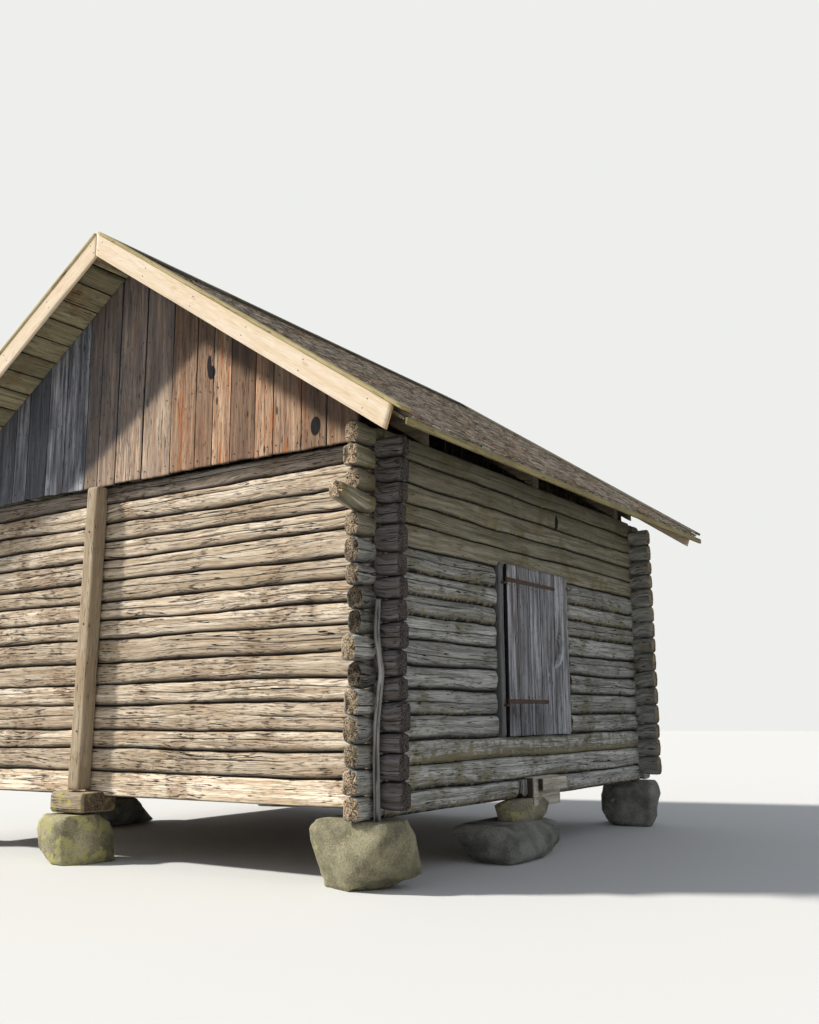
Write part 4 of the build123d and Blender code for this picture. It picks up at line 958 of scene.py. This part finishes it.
ridge_board_wood = weathered_wood("grey_ridge_boards", "8f8878", "716a5a", "37312a", "6e665a", "8f9450",
                                  flecks=0.6, relief=0.8)
RIDGE_BOARD, RIDGE_BOARD_HALF_LENGTH = 0.190, 2.933
lap = 0.024 * tan(SLOPE) + 0.001
solids = []
for side, name in SIDES:
    down, outward = slope_axes(side)
    centre = on_slope(side, (lap + RIDGE_BOARD) / 2, -0.0123)
    solids.append(plank(centre, Y, down, outward, (-RIDGE_BOARD_HALF_LENGTH, RIDGE_BOARD_HALF_LENGTH),
                        RIDGE_BOARD - lap - 0.001, 0.0235, 190 + side, step=0.1, wave=0.003, grown=0.3))
timber_piece("ridge_cover_boards", solids, ridge_board_wood, ["ridge_boards"])


# Shakes.
# Split pine shakes about a hand wide, laid in rows that show 120 mm and overlap three deep,
# nailed to the roof boards. They have curled a little and weathered grey brown, with pale
# broken butts. Two more rows lie under the first at the eave.
shake_wood = weathered_wood("split_grey_brown_shakes", "b3a896", "84786a", "2f2a24", "a89a80", "8d8f5a",
                            flecks=1.1, relief=1.0, stain="9a7858")
butt_wood = weathered_wood("pale_broken_shake_butts", "ded9ce", "b9b2a6", "4a433b", "a89a80", "8d8f5a",
                           flecks=0.6, relief=1.0, stain="a08c74")
butt_mesh = bpy.data.meshes.new("one_shake")
section = ((0.0, 0.0), (0.15, -0.0065), (0.33, -0.0145), (0.0, -0.0125), (0.33, -0.0175))
shake_points = [(x, y, z) for y, z in section for x in (-0.052, 0.0, 0.052)]
shake_faces = [(0, 1, 4, 3), (1, 2, 5, 4), (3, 4, 7, 6), (4, 5, 8, 7), (9, 10, 1, 0), (10, 11, 2, 1),
               (12, 13, 10, 9), (13, 14, 11, 10), (6, 7, 13, 12), (7, 8, 14, 13), (0, 3, 6, 12, 9),
               (2, 11, 14, 8, 5)]
butt_mesh.from_pydata(shake_points, [], shake_faces)
grain_layer = butt_mesh.uv_layers.new(name="grain")
for loop in butt_mesh.loops:
    x, y, z = butt_mesh.vertices[loop.vertex_index].co
    grain_layer.data[loop.index].uv = (y, x + z)
one_shake = bpy.data.objects.new("one_shake", butt_mesh)


def new_tree(name, inputs):
    """A Geometry Nodes tree with named inputs, and the identifiers of their sockets."""
    tree = bpy.data.node_groups.new(name, "GeometryNodeTree")
    sockets = {}
    for key, kind in inputs.items():
        socket = tree.interface.new_socket(name=key, in_out="INPUT", socket_type="NodeSocket" + kind)
        sockets[key] = socket.identifier
    tree.interface.new_socket(name="Geometry", in_out="OUTPUT", socket_type="NodeSocketGeometry")
    return tree, sockets


# A line of points is folded into rows. Each shake is shaken a little out of its place, kept between
# the roof's ends, tilted and scaled, and given its own shade; then all of them curl by 4 mm.
tree, sockets = new_tree("shake_rows", {
    "Length": "Float", "Pitch": "Float", "Width": "Float", "Rows": "Int", "Start": "Float", "Sink": "Float",
    "Seed": "Int", "Shake": "Object", "Finish": "Material"})
given = add_node(tree, "NodeGroupInput").outputs
across = add_node(tree, "ShaderNodeMath", {0: given["Length"], 1: given["Width"]}, operation="DIVIDE")
number = add_node(tree, "FunctionNodeFloatToInt", {0: across})
total = add_node(tree, "ShaderNodeMath", {0: number, 1: given["Rows"]}, operation="MULTIPLY")
line = add_node(tree, "GeometryNodePoints", {"Count": total})
index = add_node(tree, "GeometryNodeInputIndex")
row = add_node(tree, "ShaderNodeMath", {0: index, 1: number}, operation="DIVIDE")
row = add_node(tree, "ShaderNodeMath", {0: row}, operation="FLOOR")
passed = add_node(tree, "ShaderNodeMath", {0: row, 1: number}, operation="MULTIPLY")
in_row = add_node(tree, "ShaderNodeMath", {0: index, 1: passed}, operation="SUBTRACT")
slack = add_node(tree, "FunctionNodeRandomValue",
                 {"Min": (-0.013, -0.014, -0.002), "Max": (0.013, 0.011, 0.0025), "Seed": given["Seed"]},
                 data_type="FLOAT_VECTOR")
slid = add_node(tree, "ShaderNodeSeparateXYZ", {0: slack}).outputs
x = add_node(tree, "ShaderNodeMath", {0: in_row, 1: 0.5}, operation="ADD")
half_length = add_node(tree, "ShaderNodeMath", {0: given["Length"], 1: -0.5}, operation="MULTIPLY")
x = add_node(tree, "ShaderNodeMath", {0: x, 1: given["Width"], 2: half_length}, operation="MULTIPLY_ADD")
x = add_node(tree, "ShaderNodeMath", {0: x, 1: slid[0]}, operation="ADD")
limit = add_node(tree, "ShaderNodeMath", {0: given["Length"], 1: 0.5, 2: -0.056}, operation="MULTIPLY_ADD")
x = add_node(tree, "ShaderNodeMath", {0: x, 1: limit}, operation="MINIMUM")
limit = add_node(tree, "ShaderNodeMath", {0: limit, 1: -1.0}, operation="MULTIPLY")
x = add_node(tree, "ShaderNodeMath", {0: x, 1: limit}, operation="MAXIMUM")
y = add_node(tree, "ShaderNodeMath", {0: row, 1: given["Pitch"], 2: given["Start"]}, operation="MULTIPLY_ADD")
y = add_node(tree, "ShaderNodeMath", {0: y, 1: slid[1]}, operation="ADD")
y = add_node(tree, "ShaderNodeMath", {0: y, 1: -1.0}, operation="MULTIPLY")
z = add_node(tree, "ShaderNodeMath", {0: slid[2], 1: given["Sink"]}, operation="SUBTRACT")
spot = add_node(tree, "ShaderNodeCombineXYZ", {0: x, 1: y, 2: z})
laid = add_node(tree, "GeometryNodeSetPosition", {"Geometry": line, "Position": spot})
model = add_node(tree, "GeometryNodeObjectInfo", {"Object": given["Shake"]}, transform_space="ORIGINAL")
seed_two = add_node(tree, "ShaderNodeMath", {0: given["Seed"], 1: 7.0}, operation="ADD")
tilt, size = (add_node(tree, "FunctionNodeRandomValue", {"Min": least, "Max": most, "Seed": seed_two},
                       data_type="FLOAT_VECTOR")
              for least, most in (((-0.006, -0.030, -0.022), (0.012, 0.030, 0.022)),
                                  ((0.80, 0.97, 0.8), (1.08, 1.03, 1.25))))
nailed = add_node(tree, "GeometryNodeInstanceOnPoints",
                  {"Points": laid, "Instance": model.outputs["Geometry"], "Rotation": tilt, "Scale": size})
grade = add_node(tree, "FunctionNodeRandomValue", {2: 0.0, 3: 1.0, "Seed": given["Seed"]}, data_type="FLOAT")
mark = add_node(tree, "FunctionNodeCombineColor", {0: grade, 1: 0.0, 2: 0.0, 3: 0.22})
marked = add_node(tree, "GeometryNodeStoreNamedAttribute",
                  {"Geometry": nailed, "Name": "marks", "Value": mark},
                  data_type="FLOAT_COLOR", domain="INSTANCE")
real = add_node(tree, "GeometryNodeRealizeInstances", {"Geometry": marked})
shown = add_node(tree, "GeometryNodeInputPosition")
curl = add_node(tree, "ShaderNodeTexNoise", {"Vector": shown, "Scale": 17.0, "Detail": 2.0})
curl = add_node(tree, "ShaderNodeMapRange", {0: curl, 1: 0.25, 2: 0.75, 3: -0.004, 4: 0.004})
lift = add_node(tree, "ShaderNodeCombineXYZ", {2: curl})
curled = add_node(tree, "GeometryNodeSetPosition", {"Geometry": real, "Offset": lift})
dressed = add_node(tree, "GeometryNodeSetMaterial", {"Geometry": curled, "Material": given["Finish"]})
add_node(tree, "NodeGroupOutput", {0: dressed})


def grown_mesh(name, tree, values, spots=()):
    """Evaluate a node tree on a carrier, empty or with one point for each spot, and return its mesh."""
    carrier = bpy.data.objects.new(name + "_carrier", bpy.data.meshes.new(name + "_carrier"))
    carrier.data.from_pydata([tuple(s) for s in spots], [], [])
    scene.collection.objects.link(carrier)
    modifier = carrier.modifiers.new("made", "NODES")
    modifier.node_group = tree
    for key, value in values.items():
        modifier[key] = value
    bpy.context.view_layer.update()
    evaluated = carrier.evaluated_get(bpy.context.evaluated_depsgraph_get())
    mesh = bpy.data.meshes.new_from_object(evaluated, preserve_all_data_layers=True,
                                           depsgraph=bpy.context.evaluated_depsgraph_get())
    carrier.modifiers.remove(modifier)
    bpy.data.objects.remove(carrier)
    return mesh


scene.collection.objects.link(one_shake)
SLOPE_LENGTH, SHAKE_ROWS = EAVE_X / cos(SLOPE), 32
SHAKES_LENGTH, SHAKE_WIDTH, SHAKE_PITCH = 5.866, 0.098, SLOPE_LENGTH / SHAKE_ROWS
for side, name in SIDES:
    for piece_name, wood, nodes, lots in (
            ("shake_roof_", shake_wood, ["roof_shakes_" + name], ((SHAKE_ROWS, SHAKE_PITCH, 0.001, 3),)),
            ("eave_shakes_", butt_wood, [],
             ((1, SLOPE_LENGTH - 0.002, 0.011, 4), (1, SLOPE_LENGTH - 0.004, 0.021, 5)))):
        joined = bmesh.new()
        for rows, start, sink, seed in lots:
            mesh = grown_mesh("shakes", tree, {
                sockets["Length"]: SHAKES_LENGTH, sockets["Pitch"]: SHAKE_PITCH,
                sockets["Width"]: SHAKE_WIDTH, sockets["Rows"]: rows, sockets["Start"]: start,
                sockets["Sink"]: sink, sockets["Seed"]: seed + 10 * (side > 0), sockets["Shake"]: one_shake,
                sockets["Finish"]: wood})
            joined.from_mesh(mesh)
            bpy.data.meshes.remove(mesh)
        mesh = bpy.data.meshes.new(piece_name + name)
        joined.to_mesh(mesh)
        joined.free()
        spots = np.empty(len(mesh.vertices) * 3)
        mesh.vertices.foreach_get("co", spots)
        x, y, z = spots.reshape(-1, 3).T
        y = np.minimum(y, -0.030)
        laid = np.stack([side * (-y * cos(SLOPE) + z * sin(SLOPE)), -side * x,
                         RIDGE_TOP + y * sin(SLOPE) + z * cos(SLOPE)], -1)
        mesh.vertices.foreach_set("co", laid.ravel())
        mesh.update()
        finish_piece(bpy.data.objects.new(piece_name + name, mesh), wood, nodes, smooth=False)
bpy.data.objects.remove(one_shake)


# Gable boards.
# Sawn pine boards of all widths nailed upright over the gable, orange brown where the sun has drawn resin out
# of the knots and the summer wood. The roof's shadow is painted on them as a dark band under the overhang,
# and the boards at the left end, all in that shadow, are a blue-grey copy of their wood, painted shade.
RIDGE_LOG_RADIUS = 0.084
GABLE_REACH, BOARD_FOOT = 2.454, 3.180


def board_roof(x):
    """Where a gable board ends at the top: under the roof boards and round the ridge log."""
    x = np.abs(np.asarray(x, float))
    under_roof = RIDGE_TOP - 0.057 / cos(SLOPE) - RISE * x
    under_log = RIDGE_TOP - 0.163 - np.sqrt(np.maximum(RIDGE_LOG_RADIUS ** 2 - x ** 2, 0.0))
    return np.where(x < RIDGE_LOG_RADIUS, np.minimum(under_roof, under_log), under_roof)


def sheltered(rings, marks):
    """Paint the roof's shadow on the boards, darker above lines that run like the shadow of the roof's edges
    on the front gable and in an even band under the roof on the back: painted shadow.
    """
    x, z = rings[..., 0], rings[..., 2]
    front = rings[0, 0, 1] < 0
    line = np.minimum(3.67 + 0.66 * x, 4.80 - 0.683 * x) if front else 4.90 - 0.683 * np.abs(x)
    dark = (0.72 if front else 0.55) * np.clip((z - line) / 0.08, 0, 1)
    marks[..., 2] += dark * (0.9 + 0.3 * lumps(rings / (0.05, 1.0, 0.3), 15))
    return marks


# Two holes in the front gable boards, one a teardrop of two ovals, are not cut but painted near-black:
# painted shade.
HOLE_SHADE_SPOTS = (((0.930, -2.54, 3.985), (0.045, 0.08, 0.062)), ((0.900, -2.54, 4.060), (0.026, 0.08, 0.085)),
         ((2.045, -2.54, 3.342), (0.050, 0.08, 0.078)))
sunny_boards = weathered_wood("resin_streaked_gable_boards", "c9a98a", "8f705a", "261f1e", flecks=0.2,
                              stain="b5672d", dark="5a3c2c", streaky=True, knots=0.85, painted_holes=HOLE_SHADE_SPOTS,
                              painted_shade_tone="34302f")
middle_boards = weathered_wood("pale_grey_brown_gable_boards", "cdb49c", "94806f", "22232a", flecks=0.3,
                               stain="a98566", streaky=True, knots=0.85, painted_shade_tone="3a3d45")
# A darker blue-grey copy of the board wood for the boards wholly in the roof's shadow: painted shade.
shaded_boards = weathered_wood("painted_shade_blue_grey_gable_boards", "d8d8dc", "66676e", "14161c", "6e665a", flecks=0.4,
                               stain="7d6f64", streaky=True, knots=0.8, painted_shade_tone="3b3e47")
BOARD_WIDTHS = (300, 251, 288, 192, 267, 200, 197, 290, 340, 344, 229, 175, 300, 251, 288, 192, 267, 200,
                197, 290)
BOARD_TINTS = (0.5, 0.9, 0.1, -0.5, 1.25, -0.2, 0.9, 0.5, 0.2, -0.2) * 2
OPEN_JOINT = 9
ENDS = ((-1, "front"), (1, "back"))
board_edges, edge = [], GABLE_REACH
for width in BOARD_WIDTHS:
    board_edges.append((max(edge - width / 1000, -GABLE_REACH), edge))
    edge = board_edges[-1][0]
for end, which in ENDS:
    lots = {"sunny": [], "middle": [], "shaded": []}
    for number, (low_x, high_x) in enumerate(board_edges):
        centre = (low_x + high_x) / 2
        foot = BOARD_FOOT + 0.008 * ripple(8, centre * 3, end)
        lot = "sunny" if centre > 0.6 else "middle" if end > 0 or centre > -0.7 else "shaded"

        def board_span(a):
            """From the uneven foot to the underside of the roof."""
            return 0.006 * ripple(9, (a + centre) / 0.06), board_roof(a + centre) - foot

        lots[lot].append(plank((centre, end * 2.5293, foot), Z, X, end * Y, board_span,
                               high_x - low_x - (0.020 if number == OPEN_JOINT else 0.006), 0.0275,
                               210 + number + 30 * (end > 0), step=0.05, wave=0.0022, rough=0.0016,
                               tint=BOARD_TINTS[number], side_shade=1.0, cell=0.020, marks_at=sheltered))
    for lot, wood in (("sunny", sunny_boards), ("middle", middle_boards), ("shaded", shaded_boards)):
        if lots[lot]:
            timber_piece(lot + "_boards_" + which, lots[lot], wood if end < 0 else middle_boards,
                         [which + "_gable_boards"] if lot == "middle" else [])


# Bargeboards and their caps.
# Newly sawn pine boards on the roof's edge with flat cap boards over them, still the colour of
# fresh wood with a rosy tinge on the face. The caps are weathered and mossy on top.
barge_wood = weathered_wood("fresh_sawn_pine_bargeboard", "e3d4bf", "d9c6a8", "a98455", "c9a877", "c8b878",
                            flecks=-1.0, relief=0.35, stain="dbc1a9", knots=0.35)
cap_wood = weathered_wood("mossy_barge_cap", "c9b98a", "a8986a", "6a5c3a", "b59a6c", "a8a24e",
                          flecks=0.2, relief=0.5)
BARGE_HALF, BARGE_END, EAVE_CUT = 0.085, 3.098, tan(radians(20.0))
CAP_INNER, CAP_OUTER = 2.935, 3.055


def barge_span(a):
    """Start at the mitre under the ridge and end at the cut above the eave."""
    lean = (0.0003 + BARGE_HALF - a) * sin(SLOPE)
    low = (BARGE_HALF - a) * (cos(SLOPE) + sin(SLOPE) * tan(SLOPE)) * EAVE_CUT / (1 + RISE * EAVE_CUT)
    return (0.0012 + lean) / cos(SLOPE), (BARGE_END + lean - low) / cos(SLOPE)


cap_span = (0.026 * tan(SLOPE) + 0.0012, BARGE_END / cos(SLOPE) + 0.100)
for end, which in ENDS:
    boards, caps = [], []
    for side, _ in SIDES:
        down, outward = slope_axes(side)
        centre = on_slope(side, 0.0, 0.0003 + BARGE_HALF, end * 3.0313)
        boards.append(plank(centre, down, outward, end * Y, barge_span, 0.1697, 0.0277, 250 + side + end,
                            step=0.10, wave=0.0012, rough=0.0003, tint=0.15, ease=0.002, side_shade=0.1,
                            cell=0.03))
        centre = on_slope(side, 0.0, -0.0133, end * (CAP_INNER + CAP_OUTER) / 2)
        caps.append(plank(centre, down, Y, outward, cap_span, CAP_OUTER - CAP_INNER - 0.001, 0.0257,
                          260 + side + end, step=0.12, wave=0.0015, rough=0.0005, tint=0.4, side_shade=0.0,
                          grown=0.30, cell=0.03))
    timber_piece("fresh_bargeboards_" + which, boards, barge_wood, [which + "_bargeboards"])
    timber_piece("barge_caps_" + which, caps, cap_wood if end < 0 else ridge_board_wood,
                 [which + "_barge_caps"])


# Prop on the gable and its block.
# A squared pine post with rounded corners nailed upright to the middle of the gable. It stands
# on a lichened block of wood over a pale stone.
prop_wood = weathered_wood("smooth_weathered_prop", "bfae94", "a39177", "54432f", "8b7663", "a9a24e",
                           flecks=0.1, relief=0.6, stain="ab967a")
low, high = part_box("gable_prop")
half = (high[2] - low[2]) / 2
PROP_LEAN = 0.045
post = plank([(low[i] + high[i]) / 2 for i in range(3)], (PROP_LEAN, 0, 2 * half), X, -Y,
             (-half + 0.002, half - 0.002), 0.144, 0.128, 271, step=0.05, wave=0.004, rough=0.0015, tint=0.25,
             ease=0.016, side_shade=0.15, taper=(1.0, 0.9), splits=0.01, cell=0.022)
timber_piece("squared_gable_prop", [post], prop_wood, ["gable_prop"])
low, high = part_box("prop_block")
solid = block(low, high, 272, ease=0.03, grown=0.46, tint=1.15, wave=0.008, rough=0.008)
timber_piece("hewn_prop_block", [solid], gable_wood, ["prop_block"])


# Corner pole.
# A thin crooked pole with its bark gone, silvery and split, wedged into the nook of the corner.
pole_wood = weathered_wood("barkless_crooked_pole", "b5b2ac", "85827d", "35312d", "8b7663", "a9a24e",
                           flecks=0.3, relief=0.7)
path = np.array([(1000 * HALF_WIDTH + dx, -1000 * HALF_LENGTH + dy, 457.3 + dz) for dz, dx, dy in (
    (0, 46, -44), (440, 40, -46), (640, 44, -48), (860, 62, -34), (1010, 76, -32), (1270, 44, -44),
    (1512, 56, -42))]) / 1000
RINGS, AROUND = 60, 14
heights = np.linspace(path[0, 2], path[-1, 2], RINGS)
middle = np.stack([np.interp(heights, path[:, 2], path[:, axis]) for axis in (0, 1)], -1)
for axis in (0, 1):
    middle[1:-1, axis] = np.convolve(middle[:, axis], (0.25, 0.5, 0.25), "same")[1:-1]
share = (heights - heights[0]) / (heights[-1] - heights[0])
rings = np.empty((RINGS, AROUND, 3))
for n, t in enumerate(np.linspace(0, 2 * pi, AROUND, endpoint=False)):
    radius = (0.0255 - 0.006 * share) * (1 + 0.14 * ripple(61, heights / 0.12, 1.5 * cos(t), 1.5 * sin(t)))
    rings[:, n] = np.stack([middle[:, 0] + radius * cos(t), middle[:, 1] + radius * sin(t), heights], -1)
tones = np.zeros((RINGS, AROUND, 4))
tones[..., 0] = 0.2
# Two dark strips on opposite sides stand for splits that are not cut, darker towards the bottom: painted
# shade in the splits.
for n in (3, 4, 11, 12):
    tones[:, n, 2] = np.clip(1.2 + 2.5 * ripple(62, heights / 0.3, n) - 0.8 * share, 0, 0.9)
timber_piece("crooked_corner_pole", [swept(rings, heights, tones, seed=281)], pole_wood, ["corner_pole"])


# Nails.
# Forged and drawn iron nails with round heads about 12 mm across, rusted dark. They hold the gable
# boards, the door's boards and straps, the prop and, new and bright once, the bargeboards.
head = bpy.data.meshes.new("one_nail")
ring = [(cos(t), sin(t)) for t in np.arange(8) * pi / 4]
rims = [(0.0056, -0.004), (0.0062, 0.0012), (0.0040, 0.0026)]
head.from_pydata([(r * x, r * y, z) for r, z in rims for x, y in ring], [],
                 [(8 * i + j, 8 * i + (j + 1) % 8, 8 * i + 8 + (j + 1) % 8, 8 * i + 8 + j) for i in (0, 1)
                  for j in range(8)] + [tuple(range(16, 24)), tuple(range(7, -1, -1))])
one_nail = bpy.data.objects.new("one_nail", head)
scene.collection.objects.link(one_nail)

tree, sockets = new_tree("nail_heads", {
    "Geometry": "Geometry", "Turn": "Vector", "Size": "Float", "Seed": "Int", "Nail": "Object",
    "Finish": "Material"})
given = add_node(tree, "NodeGroupInput").outputs
dots = add_node(tree, "GeometryNodeMeshToPoints", {"Mesh": given["Geometry"]})
model = add_node(tree, "GeometryNodeObjectInfo", {"Object": given["Nail"]}, transform_space="ORIGINAL")
lean = add_node(tree, "FunctionNodeRandomValue",
                {"Min": (-0.12, -0.12, 0.0), "Max": (0.12, 0.12, 0.0), "Seed": given["Seed"]},
                data_type="FLOAT_VECTOR")
facing = add_node(tree, "ShaderNodeVectorMath", {0: given["Turn"], 1: lean}, operation="ADD")
driven = add_node(tree, "GeometryNodeInstanceOnPoints",
                  {"Points": dots, "Instance": model.outputs["Geometry"], "Rotation": facing,
                   "Scale": given["Size"]})
real = add_node(tree, "GeometryNodeRealizeInstances", {"Geometry": driven})
dressed = add_node(tree, "GeometryNodeSetMaterial", {"Geometry": real, "Material": given["Finish"]})
add_node(tree, "NodeGroupOutput", {0: dressed})

chance = np.random.default_rng(77)


def shaken(spots, axes, amount=0.012):
    """Spots moved a little at random along some of the axes."""
    spots = np.array(spots, float)
    return spots + chance.uniform(-amount, amount, spots.shape) * np.array(axes)


FRONT, BACK, DOOR_SIDE = (pi / 2, 0.0, 0.0), (-pi / 2, 0.0, 0.0), (0.0, pi / 2, 0.0)
lots = []
for (end, which), turned in zip(ENDS, (FRONT, BACK)):
    spots = [(x, end * 2.5450, z) for low_x, high_x in board_edges for x in (low_x + 0.045, high_x - 0.045)
             for z in (3.240, 3.83, 4.41) if high_x - low_x > 0.12 and z < board_roof(x) - 0.10]
    lots.append(("board_nails_" + which, shaken(spots, (1, 0, 1)), turned, 1.0, "house"))
    spots = [on_slope(side, along, depth, end * 3.0455) for side, _ in SIDES
             for along in (0.12, 0.80, 1.48, 2.16, 2.84, 3.52) for depth in (0.045, 0.125)]
    lots.append(("bargeboard_nails_" + which, shaken(spots, (1, 0, 1), 0.008), turned, 0.75, "house"))
low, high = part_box("gable_prop")
spots = [(low[0] + 0.07 + PROP_LEAN * (z - low[2]) / (high[2] - low[2]), low[1], z)
         for z in (1.05, 1.95, 2.75)]
lots.append(("prop_nails", shaken(spots, (1, 0, 0), 0.02), FRONT, 1.3, "house"))
spots = [(BOARD_FACE, (low[1] + high[1]) / 2 + across, z) for low, high in boxes_along("door_boards", 1)
         for z in (1.317, 2.278) for across in (-0.05, 0.05)]
lots.append(("door_board_nails", shaken(spots, (0, 1, 1), 0.008), DOOR_SIDE, 0.9, "door_leaf"))
spots = [(STRAP_FACE + 0.0004, y, (low[2] + high[2]) / 2) for low, high in boxes_along("door_strap_hinges", 2)
         for y in np.linspace(-0.52, high[1] - 0.035, 4)]
lots.append(("strap_nails", shaken(spots, (0, 1, 0.3), 0.01), DOOR_SIDE, 1.0, "door_leaf"))
for seed, (name, spots, turned, size, body) in enumerate(lots):
    mesh = grown_mesh(name, tree, {sockets["Turn"]: turned, sockets["Size"]: size, sockets["Seed"]: seed,
                                   sockets["Nail"]: one_nail, sockets["Finish"]: iron}, spots)
    finish_piece(bpy.data.objects.new(name, mesh), iron, body=body, smooth=False)
bpy.data.objects.remove(one_nail)
